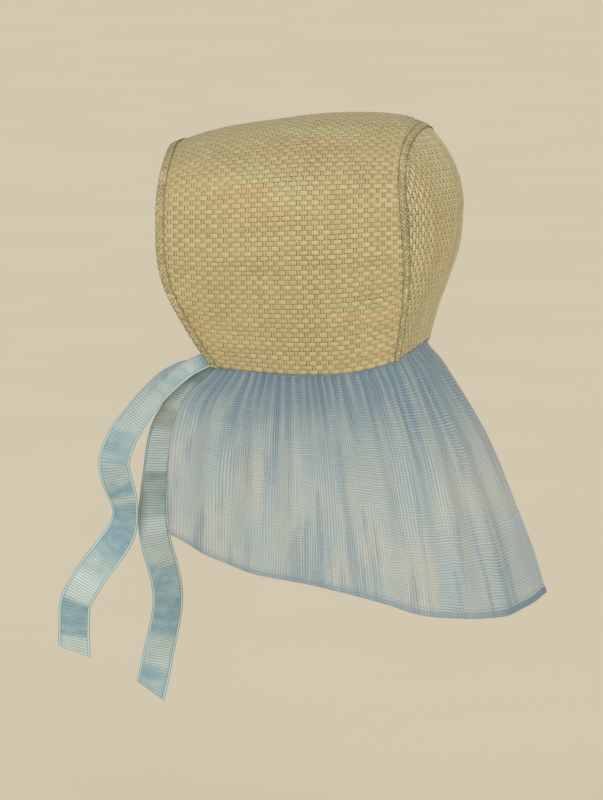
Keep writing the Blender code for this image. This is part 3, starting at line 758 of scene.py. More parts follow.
def cape_grid(sizes):
    """Middle surface of the cape, columns round it by rows down it, and how deep its folds lie."""
    half_count = int(sizes.gather_count * GATHER_SAMPLES)
    depth = STRAW_WALL + GAP + CAPE_THICK / 2
    corner = brim_surface(1.0, front_y(1.0))
    neck = neck_line(1.0, depth, half_count + 1)
    upper = neck_line(1.0 - 1 / SIDE_COLUMNS, depth, half_count + 1)
    top = neck + unit(upper - neck) * CAPE_OVERLAP
    way = np.linspace(0.0, 1.0, half_count + 1)
    out, back, drop = (read_table(HEM_LINE, HEM_COLUMNS, name, way) for name in HEM_COLUMNS[1:])
    hem = np.column_stack([
        out * CAPE_WIDTH / 2,
        corner[1] - CAPE_FORWARD + back * CAPE_DEPTH,
        corner[2] - drop * CAPE_LENGTH,
    ])
    fine = np.linspace(0.0, CLOSE_ROWS, CLOSE_COUNT, endpoint=False)
    hem_top = 1 - HEM_HEIGHT / CAPE_LENGTH
    hem_rows = np.array([hem_top - 0.004, hem_top, hem_top + HEM_EDGE, 0.985, 0.996, 1.0])
    plain = np.linspace(CLOSE_ROWS, hem_top - 0.008, FALL_COUNT)
    rows = np.concatenate([fine, plain, hem_rows])
    mirror = np.array([-1.0, 1.0, 1.0])
    neck, top, hem = (np.concatenate([part, part[-2::-1] * mirror]) for part in (neck, top, hem))
    way = np.concatenate([way, way[-2::-1]])
    place = np.linspace(0.0, 1.0, len(way))
    outward = unit((hem - neck) * np.array([1.0, 1.0, 0.0]))
    blend = smooth(way / 0.5)
    draw = np.random.default_rng(CAPE_SEED)
    stray = np.interp(place, np.linspace(0, 1, STRAY_KNOTS),
                      draw.normal(0, GATHER_STRAY, STRAY_KNOTS))
    drift = FOLD_DRIFT * np.sin(2 * math.pi * DRIFT_WAVES * place)
    soft = np.cos(2 * math.pi * (FOLD_COUNT * place + drift))
    turn = math.pi * (sizes.gather_count * place + stray)
    gather = 1 - 2 * np.abs(np.sin(turn)) ** GATHER_SHARPNESS
    strength = np.interp(place, np.linspace(0, 1, DEPTH_KNOTS), draw.uniform(0, 1, DEPTH_KNOTS))
    strength = GATHER_LEAST + (1 - GATHER_LEAST) * strength
    reach = np.interp(place, np.linspace(0, 1, REACH_KNOTS),
                      draw.uniform(*GATHER_REACH, REACH_KNOTS))
    grid, valley = [top], [np.zeros(len(way))]
    for row in rows:
        back_flare, front_flare, folds = (
            read_table(CAPE_FALL, FALL_COLUMNS, name, row) for name in FALL_COLUMNS[1:])
        flare = front_flare + (back_flare - front_flare) * blend
        point = neck + (hem - neck) * np.stack([flare, flare, np.full(len(way), row)], axis=1)
        fade = smooth(row / GATHER_START) * np.exp(-(row / reach) ** 2)
        folds = folds * (1 - 0.65 * smooth((row - 0.45) / 0.5))
        rise = soft * sizes.fold_height * folds + gather * strength * sizes.gather_height * fade
        grid.append(point + outward * rise[:, None])
        # Rise of the gathers and soft folds, which the cotton reads for painted shade in the
        # valleys and a painted highlight on the crests
        valley.append(gather * strength * fade + 0.15 * soft * folds)
    return np.stack(grid, axis=1), np.stack(valley, axis=1), np.concatenate([[-0.05], rows])


def shell_faces(columns, rows):
    """Faces of a closed sheet whose outer points come first and inner points second."""
    outer = np.arange(columns * rows).reshape(columns, rows)
    inner = outer + columns * rows
    corners = [
        (side[:-1, :-1], side[1:, :-1], side[1:, 1:], side[:-1, 1:]) for side in (outer, inner)]
    for first, second in (
        (outer[:, 0], inner[:, 0]), (outer[:, -1], inner[:, -1]),
        (outer[0], inner[0]), (outer[-1], inner[-1]),
    ):
        corners.append((first[:-1], first[1:], second[1:], second[:-1]))
    return np.concatenate([np.stack(four, axis=-1).reshape(-1, 4) for four in corners])


def grid_normals(grid):
    """Directions square to a sheet, away from its middle."""
    normal = unit(np.cross(np.gradient(grid, axis=0), np.gradient(grid, axis=1)))
    return normal if np.sum(normal * (grid - grid.mean(axis=(0, 1)))) > 0 else -normal


def face_outwards(item):
    """Turns every face of a closed piece to point out."""
    work = bmesh.new()
    work.from_mesh(item.data)
    bmesh.ops.recalc_face_normals(work, faces=work.faces)
    work.to_mesh(item.data)
    work.free()


def sew_cape(sizes, materials):
    """Gathered cape with a turned hem and a row of stitches above it."""
    grid, valley, rows = cape_grid(sizes)
    normal = grid_normals(grid)
    in_hem = rows > 1 - HEM_HEIGHT / CAPE_LENGTH + HEM_EDGE / 2
    thick = np.where(in_hem, sizes.hem_thick, sizes.cloth_thick)
    shift = normal * thick[None, :, None] / 2
    points = np.concatenate([(grid + shift).reshape(-1, 3), (grid - shift).reshape(-1, 3)])
    columns, count = grid.shape[:2]
    cape = mesh_object("gathered_cape", points, shell_faces(columns, count), materials["cotton"])
    face_outwards(cape)
    across = np.linspace(0, sizes.cape_cut_width, columns)[:, None]
    places = np.stack(np.broadcast_arrays(across, rows * CAPE_LENGTH, rows), axis=-1).reshape(-1, 3)
    store(cape, "place", np.concatenate([places, places]))
    # The folds' rise goes in as the cape's strand value, for the cotton's painted shade and painted
    # highlight
    store(cape, "strand", np.concatenate([valley.ravel(), valley.ravel()]))
    finish_piece(cape, "cotton", "cape")
    stitches = Bundle()
    row = len(rows) - HEM_ROWS
    outer = grid[:, row] + normal[:, row] * (sizes.cloth_thick / 2 + sizes.thread_thick / 4)
    ways = lengths_along(outer)
    for start in np.arange(sizes.stitch_pitch, ways[-1] - sizes.stitch_pitch, sizes.stitch_pitch):
        at = np.linspace(start, start + sizes.stitch_pitch * 0.6, 4)
        centres = np.column_stack([np.interp(at, ways, outer[:, axis]) for axis in range(3)])
        rings = cord_rings(centres, sizes.thread_thick / 3, corners=4)
        stitches.add(rings, 0.5, np.column_stack([at, at * 0, at * 0]))
    hem = stitches.build("hem_stitches", materials["blue thread"])
    finish_piece(hem, "cotton")


def tie_route(route, reach, side):
    """Points, turns and folds evenly along a tie, from its seam inside the corner to its end."""
    forward, drop = reach
    corner = brim_surface(1.0, front_y(1.0))
    half = RIBBON_WIDTH / 2
    spread = half * math.cos(math.radians(ROOT_FOLD)) + RIBBON_THICK / 2
    depth = STRAW_WALL + GAP + BINDING_THICK + TIE_CLEARANCE + spread
    girth = 1.0 - half / 2 / BRIM_HEIGHT * (1 - ARCH_SHARE) / (1 - WIDEST_AT)
    leave = corner[1] + BINDING_WIDTH / 2
    rows = []
    for y in (leave + TIE_SEAM, leave + TIE_SEAM / 2, leave):
        normal = brim_normal(np.array(girth), y)
        upward = np.array([-normal[2], 0.0, normal[0]])
        point = brim_surface(girth, y) - normal * depth + upward * half / 2
        upright = 90 + math.degrees(math.atan2(normal[2], normal[0]))
        rows.append([*point, upright, ROOT_FOLD])
    start = np.array(rows[-1][:3])
    for ahead, below, out, turn, fold in route:
        point = start + np.array([out * TIE_SWAY, -ahead * forward, -below * drop])
        rows.append([*point, turn, fold])
    rows = np.array(rows)
    rows[:, [0, 3]] *= side
    ways = lengths_along(rows[:, :3])
    result = curve_through(ways, rows, np.linspace(0.0, ways[-1], TIE_SECTIONS))
    return result[:, :3], np.radians(result[:, 3]), np.radians(np.clip(result[:, 4], 0, ROOT_FOLD))


def sew_tie(name, node, route, reach, dye_and_shading, side, flat_length, sizes, materials):
    """Ribbed ribbon with a selvedge along each side and a slanted cut end."""
    points, turns, folds = tie_route(route, reach, side)
    tangents = unit(np.gradient(points, axis=0))
    sideways = np.broadcast_to(np.array([side, 0.0, 0.0]), points.shape)
    facing = unit(sideways - tangents * np.sum(sideways * tangents, axis=1, keepdims=True))
    across = np.cross(tangents, facing) * side
    cos_turn, sin_turn = np.cos(turns * side)[:, None], np.sin(turns * side)[:, None]
    width = across * cos_turn - facing * sin_turn
    face = facing * cos_turn + across * sin_turn
    ways = lengths_along(points)
    edge = 1 - sizes.selvedge_width / (RIBBON_WIDTH / 2)
    shares = np.array([*SELVEDGE_PLACES, edge + 0.02, edge, *TIE_PLACES])
    shares = np.concatenate([shares, [0.0], -shares[::-1]])
    half = RIBBON_WIDTH / 2
    cos_fold, sin_fold = np.cos(folds)[:, None], np.sin(folds)[:, None]
    end = smooth((ways - ways[-1] + 2 * TIE_SLANT) / (2 * TIE_SLANT))[:, None]
    ribs = np.cos(2 * math.pi * ways / sizes.rib_pitch)[:, None]
    top, bottom = [], []
    for share in shares:
        bend = math.hypot(share, FOLD_ROUND) - FOLD_ROUND
        point = points + width * half * share * cos_fold - face * half * bend * sin_fold
        point = point - tangents * TIE_SLANT / 2 * share * end
        lean = np.sign(share) * sin_fold * min(1, abs(share) * FOLD_TURN)
        normal = unit(face * cos_fold + width * lean)
        ribbed = sizes.rib_height * ribs if abs(share) < edge else 0.0
        raised = 0.5 if abs(share) in (1, edge + 0.02) else 1.0
        thin = RIBBON_THICK * TIE_BODY
        top.append(point + normal * (thin * raised + ribbed))
        bottom.append(point - normal * (thin * raised - ribbed))
    grid = np.stack([*top, *bottom[::-1]], axis=1)
    count, corners = grid.shape[:2]
    number = np.arange(count * corners).reshape(count, corners)
    following = np.roll(number, -1, axis=1)
    quads = np.stack([number[:-1], following[:-1], following[1:], number[1:]], axis=-1)
    faces = [quads.reshape(-1, 4)]
    for row in (number[0], number[-1]):
        upper, lower = row[:len(shares)], row[len(shares):][::-1]
        faces.append(np.stack([upper[:-1], upper[1:], lower[1:], lower[:-1]], axis=-1))
    tie = mesh_object(name, grid.reshape(-1, 3), np.concatenate(faces), materials["ribbon"])
    face_outwards(tie)
    tone = np.interp(ways / ways[-1], [row[0] for row in dye_and_shading], [row[1] for row in dye_and_shading])
    both = np.concatenate([shares, shares[::-1]])
    places = np.stack(np.broadcast_arrays(ways[:, None], both * half, np.abs(both)), axis=-1)
    store(tie, "place", places.reshape(-1, 3))
    store(tie, "strand", np.repeat(tone, corners))
    finish_piece(tie, "ribbon", node)


def group_tree(name, inputs, outputs):
    """An empty node group with its sockets: each is a name, a socket type and a default."""
    tree = bpy.data.node_groups.new(name, "ShaderNodeTree")
    for label, kind, default in inputs:
        socket = tree.interface.new_socket(name=label, in_out="INPUT", socket_type=kind)
        if default is not None:
            socket.default_value = default
    for label, kind in outputs:
        tree.interface.new_socket(name=label, in_out="OUTPUT", socket_type=kind)
    return tree, tree.nodes.new("NodeGroupInput"), tree.nodes.new("NodeGroupOutput")


def node(tree, kind, links=None, **settings):
    """A node with its settings, and its inputs linked or set by name or number."""
    made = tree.nodes.new(kind)
    for key, value in settings.items():
        setattr(made, key, value)
    for key, value in (links or {}).items():
        if isinstance(value, bpy.types.NodeSocket):
            tree.links.new(value, made.inputs[key])
        else:
            made.inputs[key].default_value = value
    return made


def mix(tree, factor, first, second, blend="MIX"):
    """The second colour over the first one."""
    links = {0: factor, 6: first, 7: second}
    return node(tree, "ShaderNodeMix", links, data_type="RGBA", blend_type=blend).outputs[2]


def calculate(tree, operation, first, second=0.0, third=0.0):
    links = {0: first, 1: second, 2: third}
    return node(tree, "ShaderNodeMath", links, operation=operation).outputs[0]


def spread(tree, value, low, high, to_low=0.0, to_high=1.0):
    """A soft ramp from to_low to to_high between two values."""
    links = {0: value, 1: low, 2: high, 3: to_low, 4: to_high}
    return node(tree, "ShaderNodeMapRange", links, interpolation_type="SMOOTHSTEP").outputs[0]


def noise(tree, vector, scale, stretch=(1.0, 1.0, 1.0), detail=3.0):
    stretched = node(tree, "ShaderNodeVectorMath", {0: vector, 1: stretch}, operation="MULTIPLY")
    links = {"Vector": stretched.outputs[0], "Scale": scale, "Detail": detail}
    return node(tree, "ShaderNodeTexNoise", links).outputs[0]


def straw_group():
    """Colour and fine grain of split straw: a tone for each straw, and warm and green zones."""
    tree, inside, outside = group_tree("Split Straw", [
        ("Strand", "NodeSocketFloat", 0.5), ("Place", "NodeSocketVector", None),
        ("Light", "NodeSocketColor", None), ("Dark", "NodeSocketColor", None),
        ("Warm", "NodeSocketColor", None), ("Green", "NodeSocketColor", None),
    ], [("Colour", "NodeSocketColor"), ("Grain", "NodeSocketFloat")])
    place = inside.outputs["Place"]
    own = spread(tree, noise(tree, place, 55.0, (1.0, 1.0, 1.0), 2.0), 0.3, 0.7)
    tone = calculate(tree, "MULTIPLY_ADD", inside.outputs["Strand"], 0.55, 0.0)
    tone = calculate(tree, "MULTIPLY_ADD", own, 0.45, tone)
    colour = mix(tree, tone, inside.outputs["Dark"], inside.outputs["Light"])
    warm = spread(tree, noise(tree, place, 26.0, (1.0, 0.22, 0.0), 3.0), 0.50, 0.68, 0.0, 0.85)
    colour = mix(tree, warm, colour, inside.outputs["Warm"])
    green = spread(tree, noise(tree, place, 21.0, (1.3, 0.35, 0.0), 3.0), 0.53, 0.72, 0.0, 0.75)
    colour = mix(tree, green, colour, inside.outputs["Green"])
    grain = noise(tree, place, 900.0, (1.0, 0.12, 1.0), 2.0)
    shade = spread(tree, grain, 0.25, 0.75, 0.90, 1.08)
    colour = mix(tree, 1.0, colour, shade, "MULTIPLY")
    tree.links.new(colour, outside.inputs["Colour"])
    tree.links.new(grain, outside.inputs["Grain"])
    return tree


def thread_group():
    """Fine threads both ways across a cloth: Warp and Weft are 1 on a thread, Height their relief.
    """
    tree, inside, outside = group_tree("Cloth Threads", [
        ("Place", "NodeSocketVector", None), ("Warp Pitch", "NodeSocketFloat", 0.002),
        ("Weft Pitch", "NodeSocketFloat", 0.002),
    ], [("Warp", "NodeSocketFloat"), ("Weft", "NodeSocketFloat"), ("Height", "NodeSocketFloat")])
    place = inside.outputs["Place"]
    parts = node(tree, "ShaderNodeSeparateXYZ", {0: place})
    lines = []
    for part, pitch, stretch, sway in (
        (0, "Warp Pitch", (1.0, 0.25, 0.0), 7.0), (1, "Weft Pitch", (1.0, 0.3, 0.0), 16.0),
    ):
        wander = calculate(tree, "MULTIPLY", noise(tree, place, 55.0, stretch, 1.0), sway)
        turn = calculate(tree, "DIVIDE", parts.outputs[part], inside.outputs[pitch])
        turn = calculate(tree, "MULTIPLY_ADD", turn, 2 * math.pi, wander)
        wave = calculate(tree, "MULTIPLY_ADD", calculate(tree, "COSINE", turn), 0.5, 0.5)
        lines.append(wave)
    height = calculate(tree, "ADD", lines[0], lines[1])
    tree.links.new(lines[0], outside.inputs["Warp"])
    tree.links.new(lines[1], outside.inputs["Weft"])
    tree.links.new(height, outside.inputs["Height"])
    return tree


def age_group():
    """Soft uneven fading of an old dyed or natural fibre."""
    tree, inside, outside = group_tree("Fading", [
        ("Place", "NodeSocketVector", None), ("Scale", "NodeSocketFloat", 40.0),
        ("Colour", "NodeSocketColor", None), ("Faded", "NodeSocketColor", None),
    ], [("Colour", "NodeSocketColor")])
    mask = noise(tree, inside.outputs["Place"], inside.outputs["Scale"], (1.0, 0.45, 0.0), 4.0)
    mask = spread(tree, mask, 0.38, 0.66)
    tree.links.new(mix(tree, mask, inside.outputs["Colour"], inside.outputs["Faded"]),
                   outside.inputs["Colour"])
    return tree


def group_node(tree, group, links):
    return node(tree, "ShaderNodeGroup", links, node_tree=group)


def new_material(name, roughness, sheen=0.0, sheen_roughness=0.4):
    material = bpy.data.materials.new(name)
    material["finish"] = name
    material.use_nodes = True
    tree = material.node_tree
    shader = tree.nodes["Principled BSDF"]
    shader.inputs["Roughness"].default_value = roughness
    shader.inputs["Sheen Weight"].default_value = sheen
    shader.inputs["Sheen Roughness"].default_value = sheen_roughness
    shader.inputs["Specular IOR Level"].default_value = 0.35
    place = node(tree, "ShaderNodeAttribute", attribute_name="place").outputs["Vector"]
    strand = node(tree, "ShaderNodeAttribute", attribute_name="strand").outputs["Fac"]
    return material, tree, shader, place, strand


def bump(tree, shader, height, distance, strength=1.0):
    links = {"Height": height, "Distance": distance, "Strength": strength}
    made = node(tree, "ShaderNodeBump", links)
    tree.links.new(made.outputs[0], shader.inputs["Normal"])


def colour_of(value):
    return (*value, 1.0)


def straw_material(name, group, light, dark, colours, roughness):
    material, tree, shader, place, strand = new_material(name, roughness, 0.05)
    made = group_node(tree, group, {
        "Strand": strand, "Place": place, "Light": colour_of(light), "Dark": colour_of(dark),
        "Warm": colour_of(colours.straw_warm), "Green": colour_of(colours.straw_green),
    })
    tree.links.new(made.outputs["Colour"], shader.inputs["Base Color"])
    bump(tree, shader, made.outputs["Grain"], 0.00012, 0.6)
    return material


def braid_material(group, colours):
    material, tree, shader, place, strand = new_material("braid", 0.8, 0.05)
    made = group_node(tree, group, {
        "Strand": strand, "Place": place, "Light": colour_of(colours.braid_light),
        "Dark": colour_of(colours.braid_dark), "Warm": colour_of(colours.braid_light),
        "Green": colour_of(colours.braid_green),
    })
    speckle = spread(tree, noise(tree, place, 620.0, (1.0, 1.0, 1.0), 1.0), 0.42, 0.62)
    colour = mix(tree, speckle, made.outputs["Colour"], colour_of(colours.braid_dark))
    tree.links.new(colour, shader.inputs["Base Color"])
    bump(tree, shader, made.outputs["Grain"], 0.0001, 0.6)
    return material


def thread_material(name, value):
    material, tree, shader, place, _ = new_material(name, 0.85, 0.1)
    twist = noise(tree, place, 1500.0, (1.0, 1.0, 1.0), 1.0)
    shade = spread(tree, twist, 0.3, 0.7, 0.75, 1.1)
    tree.links.new(mix(tree, 1.0, colour_of(value), shade, "MULTIPLY"), shader.inputs["Base Color"])
    bump(tree, shader, twist, 0.0001, 0.5)
    return material


def cotton_material(threads, age, colours, sizes):
    material, tree, shader, place, valley = new_material("cotton", 0.9, 0.25, 0.5)
    across, _, drop = node(tree, "ShaderNodeSeparateXYZ", {0: place}).outputs
    lower = spread(tree, drop, -0.02, 0.62)
    base = mix(tree, lower, colour_of(colours.cotton_neck), colour_of(colours.cotton_hem))
    faded = group_node(tree, age, {
        "Place": place, "Scale": 34.0, "Colour": base, "Faded": colour_of(colours.cotton_faded_and_highlight),
    })
    keep = spread(tree, drop, 0.10, 0.75, 0.25, 0.8)
    colour = mix(tree, keep, base, faded.outputs["Colour"])
    # Painted shade: soft vertical streaks of deep blue stand for the shade of the cape's soft folds
    streak = noise(tree, place, 85.0, (1.0, 0.10, 0.0), 4.0)
    painted_streak_shade = spread(tree, streak, 0.50, 0.66, 0.0, 0.45)
    colour = mix(tree, painted_streak_shade, colour, colour_of(colours.cotton_painted_shade))
    # Painted shade: the valleys of the gathers and soft folds are darkened to deep blue, and a
    # painted highlight makes their crests paler
    deep = spread(tree, valley, 0.0, -0.7, 0.0, 0.9)
    colour = mix(tree, deep, colour, colour_of(colours.cotton_painted_shade))
    painted_crest_highlight = spread(tree, valley, 0.15, 0.85, 0.0, 0.5)
    colour = mix(tree, painted_crest_highlight, colour, colour_of(colours.cotton_faded_and_highlight))
    grid = group_node(tree, threads, {"Place": place, "Warp Pitch": 0.0022, "Weft Pitch": 0.0022})
    patch = noise(tree, place, 42.0, (1.0, 0.4, 0.0), 2.0)
    for lines, low, high, along in (
        ("Warp", 0.42, 0.58, (1.0, 0.05, 0.0)), ("Weft", 0.58, 0.42, (0.05, 1.0, 0.0)),
    ):
        share = spread(tree, patch, low, high, 0.35, 1.0)
        uneven = spread(tree, noise(tree, place, 230.0, along, 1.0), 0.35, 0.65, 0.35, 1.0)
        share = calculate(tree, "MULTIPLY", share, uneven)
        share = calculate(tree, "MULTIPLY", share, spread(tree, drop, 0.05, 0.40, 0.45, 1.0))
        thread = spread(tree, grid.outputs[lines], 0.55, 0.95, 0.0, 0.55)
        thread = calculate(tree, "MULTIPLY", thread, share)
        colour = mix(tree, thread, colour, colour_of(colours.cotton_thread))
        gap = spread(tree, grid.outputs[lines], 0.35, 0.0, 0.0, 0.65)
        gap = calculate(tree, "MULTIPLY", gap, share)
        darker = mix(tree, 1.0, colour, colour_of(colours.cotton_line), "MULTIPLY")
        colour = mix(tree, gap, colour, darker)
    # The turned hem is darker for its doubled cloth, and painted shade deepens it towards the
    # back's middle, where the hem turns away
    aside = calculate(tree, "SUBTRACT", across, sizes.cape_cut_width / 2)
    shade_and_sheen = spread(tree, calculate(tree, "ABSOLUTE", aside), 0.10, 0.01, 0.40, 0.90)
    hem = calculate(tree, "MULTIPLY", spread(tree, drop, 0.972, 0.978), shade_and_sheen)
    colour = mix(tree, hem, colour, colour_of(colours.cotton_painted_shade))
    tree.links.new(colour, shader.inputs["Base Color"])
    bump(tree, shader, grid.outputs["Height"], 0.00022, 0.8)
    return material


def ribbon_material(threads, age, colours, sizes):
    material, tree, shader, place, dye_and_shading = new_material("ribbon", 0.5, 0.15, 0.35)
    parts = node(tree, "ShaderNodeSeparateXYZ", {0: place})
    # Painted sheen and shade: the tie's light and dark zones mix its pale blue towards the deep
    # blue, over a soft blotch of uneven dye
    blotch = noise(tree, place, 110.0, (1.0, 0.5, 0.0), 3.0)
    depth = calculate(tree, "ADD", dye_and_shading, calculate(tree, "MULTIPLY_ADD", blotch, 0.9, -0.45))
    depth = spread(tree, depth, 0.1, 0.95)
    # Painted sheen: the palest zones go paler still
    shade_and_sheen = spread(tree, dye_and_shading, 0.25, -0.1)
    pale = mix(tree, shade_and_sheen, colour_of(colours.ribbon_light), colour_of(colours.ribbon_sheen))
    colour = mix(tree, depth, pale, colour_of(colours.ribbon_dark))
    rib = calculate(tree, "MULTIPLY", parts.outputs[0], 2 * math.pi / sizes.rib_pitch)
    groove = spread(tree, calculate(tree, "COSINE", rib), -0.35, -1.0, 0.0, 0.85)
    colour = mix(tree, groove, colour, colour_of(colours.ribbon_line))
    faded = group_node(tree, age, {
        "Place": place, "Scale": 160.0, "Colour": colour, "Faded": colour_of(colours.ribbon_light),
    })
    colour = mix(tree, 0.3, colour, faded.outputs["Colour"])
    edge = 1 - sizes.selvedge_width / (RIBBON_WIDTH / 2)
    selvedge = spread(tree, parts.outputs[2], edge - 0.01, edge + 0.02)
    colour = mix(tree, selvedge, colour, colour_of(colours.selvedge))
    for low, high in ((edge - 0.05, edge + 0.03), (0.935, 1.02)):
        rise = spread(tree, parts.outputs[2], low, low + 0.03)
        fall = spread(tree, parts.outputs[2], high, high - 0.03)
        line = calculate(tree, "MULTIPLY", calculate(tree, "MULTIPLY", rise, fall), 0.8)
        colour = mix(tree, line, colour, colour_of(colours.ribbon_line))
    tree.links.new(colour, shader.inputs["Base Color"])
    fine = group_node(tree, threads, {"Place": place, "Warp Pitch": 0.0008, "Weft Pitch": 0.0007})
    bump(tree, shader, fine.outputs["Height"], 0.00006, 0.5)
    return material


def finishes(context):
    """Every material of the bonnet by name, made the first time that a piece asks for one."""
    made = {m["finish"]: m for m in bpy.data.materials if "finish" in m}
    if made:
        return made
    colours, sizes = context.scene.bonnet_colours, context.scene.bonnet_sizes
    straw, threads, age = straw_group(), thread_group(), age_group()
    created = [
        straw_material("straw", straw, colours.straw_light, colours.straw_dark, colours, 0.6),
        straw_material("back straw", straw, colours.back_light, colours.back_dark, colours, 0.65),
        straw_material("cross straw", straw, colours.cross_straw, colours.cross_dark, colours, 0.7),
        braid_material(straw, colours),
        thread_material("thread", colours.thread),
        thread_material("blue thread", colours.cotton_hem),
        cotton_material(threads, age, colours, sizes),
        ribbon_material(threads, age, colours, sizes),
    ]
    return {material["finish"]: material for material in created}


def shade(red, green, blue):
    """A colour given as 0 to 255, as light."""
    values = (part / 255 for part in (red, green, blue))
    return tuple(v / 12.92 if v <= 0.04045 else ((v + 0.055) / 1.055) ** 2.4 for v in values)


def length_property(name, description, default):
    return FloatProperty(name=name, description=description, default=default, min=0.0,
                         precision=5, unit="LENGTH")


def colour_property(name, description, red, green, blue):
    return FloatVectorProperty(name=name, description=description, default=shade(red, green, blue),
                               size=3, min=0.0, max=1.0, subtype="COLOR")


class BonnetSizes(bpy.types.PropertyGroup):
    row_pitch: length_property("Row pitch", "Spacing of the long straws", 0.0039)
    back_pitch: length_property("Back pitch", "Spacing of the straws down the back", 0.0031)
    row_cover: FloatProperty(name="Row cover", default=1.0, min=0.5, max=1.1, subtype="FACTOR",
                             description="Width of a long straw as a share of its row")
    dash_pitch: length_property("Dash pitch", "Spacing of the crossing straws", 0.0045)
    cross_width: length_property("Crossing width", "Width of a crossing straw", 0.0026)
    straw_thick: length_property("Straw thickness", "Thickness of one split straw", 0.00045)
    weave_height: length_property("Weave height", "How far a straw rises over another", 0.00026)
    plait_height: length_property("Plait height", "Rise of a strand over another", 0.00018)
    plait_thick: length_property("Plait thickness", "Thickness of a plaited strand", 0.0005)
    thread_thick: length_property("Thread", "Thickness of the sewing thread", 0.0007)
    stitch_pitch: length_property("Stitch", "Spacing of the stitches", 0.0032)
    cloth_thick: length_property("Cloth", "Thickness of the cape's cotton", 0.0006)
    hem_thick: length_property("Hem", "Thickness of the turned hem", 0.0016)
    cape_cut_width: length_property("Cut width", "Width of the cape's cotton as it was cut", 0.66)
    cape_cut_length: length_property("Cut length", "Length of the cape's cotton", 0.206)
    fold_height: length_property("Fold height", "Height of the cape's soft folds", 0.0024)
    gather_height: length_property("Gather height", "Height of the gathers at the neck", 0.0021)
    gather_count: IntProperty(name="Gathers", description="Gathers round the neck",
                              default=66, min=8)
    selvedge_width: length_property("Selvedge", "Width of the ribbon's woven edge", 0.0019)
    rib_pitch: length_property("Rib pitch", "Spacing of the ribbon's ribs", 0.0022)
    rib_height: length_property("Rib height", "Height of the ribbon's ribs", 0.00014)


class BonnetColours(bpy.types.PropertyGroup):
    straw_light: colour_property("Straw", "Lightest straw of the brim", 180, 165, 121)
    straw_dark: colour_property("Straw shade", "Darkest straw of the brim", 170, 154, 109)
    straw_warm: colour_property("Ripe straw", "Golden zones", 181, 160, 112)
    straw_green: colour_property("Green straw", "Greenish zones", 178, 170, 124)
    back_light: colour_property("Back straw", "Lightest straw of the back", 198, 185, 141)
    back_dark: colour_property("Back shade", "Darkest straw of the back", 181, 168, 124)
    cross_straw: colour_property("Crossing straw", "Straws that cross the rows", 182, 164, 114)
    cross_dark: colour_property("Crossing shade", "Darkest crossing straw", 162, 146, 98)
    braid_light: colour_property("Braid", "Plaited edging", 203, 190, 146)
    braid_dark: colour_property("Braid shade", "Dark specks of the plait", 152, 139, 98)
    braid_green: colour_property("Green braid", "Greenish plait", 184, 176, 128)
    thread: colour_property("Sewing thread", "Thread along the braids", 138, 124, 88)
    cotton_neck: colour_property("Cotton at the neck", "Deep blue by the gathers", 104, 125, 134)
    cotton_hem: colour_property("Cotton", "Faded blue of the cape", 150, 163, 162)
    # Real faded cotton, and also the painted highlight on the crests of the gathers
    cotton_faded_and_highlight: colour_property("Faded and highlit cotton", "Palest cotton", 171, 171, 159)
    # Painted shade colour for the cape's fold valleys, its streaks and its turned hem
    cotton_painted_shade: colour_property("Deep blue", "Painted shade in the folds", 94, 118, 134)
    cotton_thread: colour_property("Cotton threads", "Palest threads", 192, 190, 174)
    cotton_line: colour_property("Thread gaps", "Shade between threads", 206, 214, 222)
    ribbon_light: colour_property("Ribbon", "Pale zones of the ribbon", 176, 184, 175)
    # Painted sheen colour for the ribbon's palest zones
    ribbon_sheen: colour_property("Ribbon sheen", "Palest zones of the ribbon", 202, 216, 214)
    ribbon_dark: colour_property("Ribbon dye", "Deep zones of the ribbon", 118, 149, 158)
    ribbon_line: colour_property("Rib grooves", "Shade between the ribs", 104, 132, 138)
    selvedge: colour_property("Selvedge", "Woven edge of the ribbon", 174, 190, 181)
    horizon: colour_property("Horizon", "Backdrop past the floor", 212, 201, 177)
    paper: colour_property("Stage", "Floor and backdrop", 237, 223, 195)


class StageSettings(bpy.types.PropertyGroup):
    azimuth: FloatProperty(name="Azimuth", description="Turn of the camera round the bonnet",
                           default=math.radians(101), subtype="ANGLE")
    elevation: FloatProperty(name="Elevation", description="Camera above the horizon",
                             default=math.radians(7), subtype="ANGLE")
    lens: FloatProperty(name="Lens", description="Focal length in millimetres",
                        default=200.0, min=20.0)
    scale: length_property("Pixel", "Width of one pixel at the bonnet", 0.0008)
    target: FloatVectorProperty(name="Target", description="Point at the picture's middle", size=3,
                                default=(0.0385, -0.0524, -0.2267), subtype="TRANSLATION")
    floor_drop: length_property("Floor drop", "Floor below the ribbons", 0.20)
    floor_radius: length_property("Floor radius", "Half of the floor's width", 40.0)


def way_out(azimuth, height):
    """Direction away from the bonnet, from the turn round it and the height above the horizon."""
    level = math.cos(height)
    return Vector((math.sin(azimuth) * level, -math.cos(azimuth) * level, math.sin(height)))


def place_facing(context, name, data, location, direction):
    """An object at a location with its back turned to a direction."""
    item = bpy.data.objects.new(name, data)
    item.location = location
    item.rotation_euler = direction.to_track_quat("Z", "Y").to_euler()
    context.scene.collection.objects.link(item)
    return item


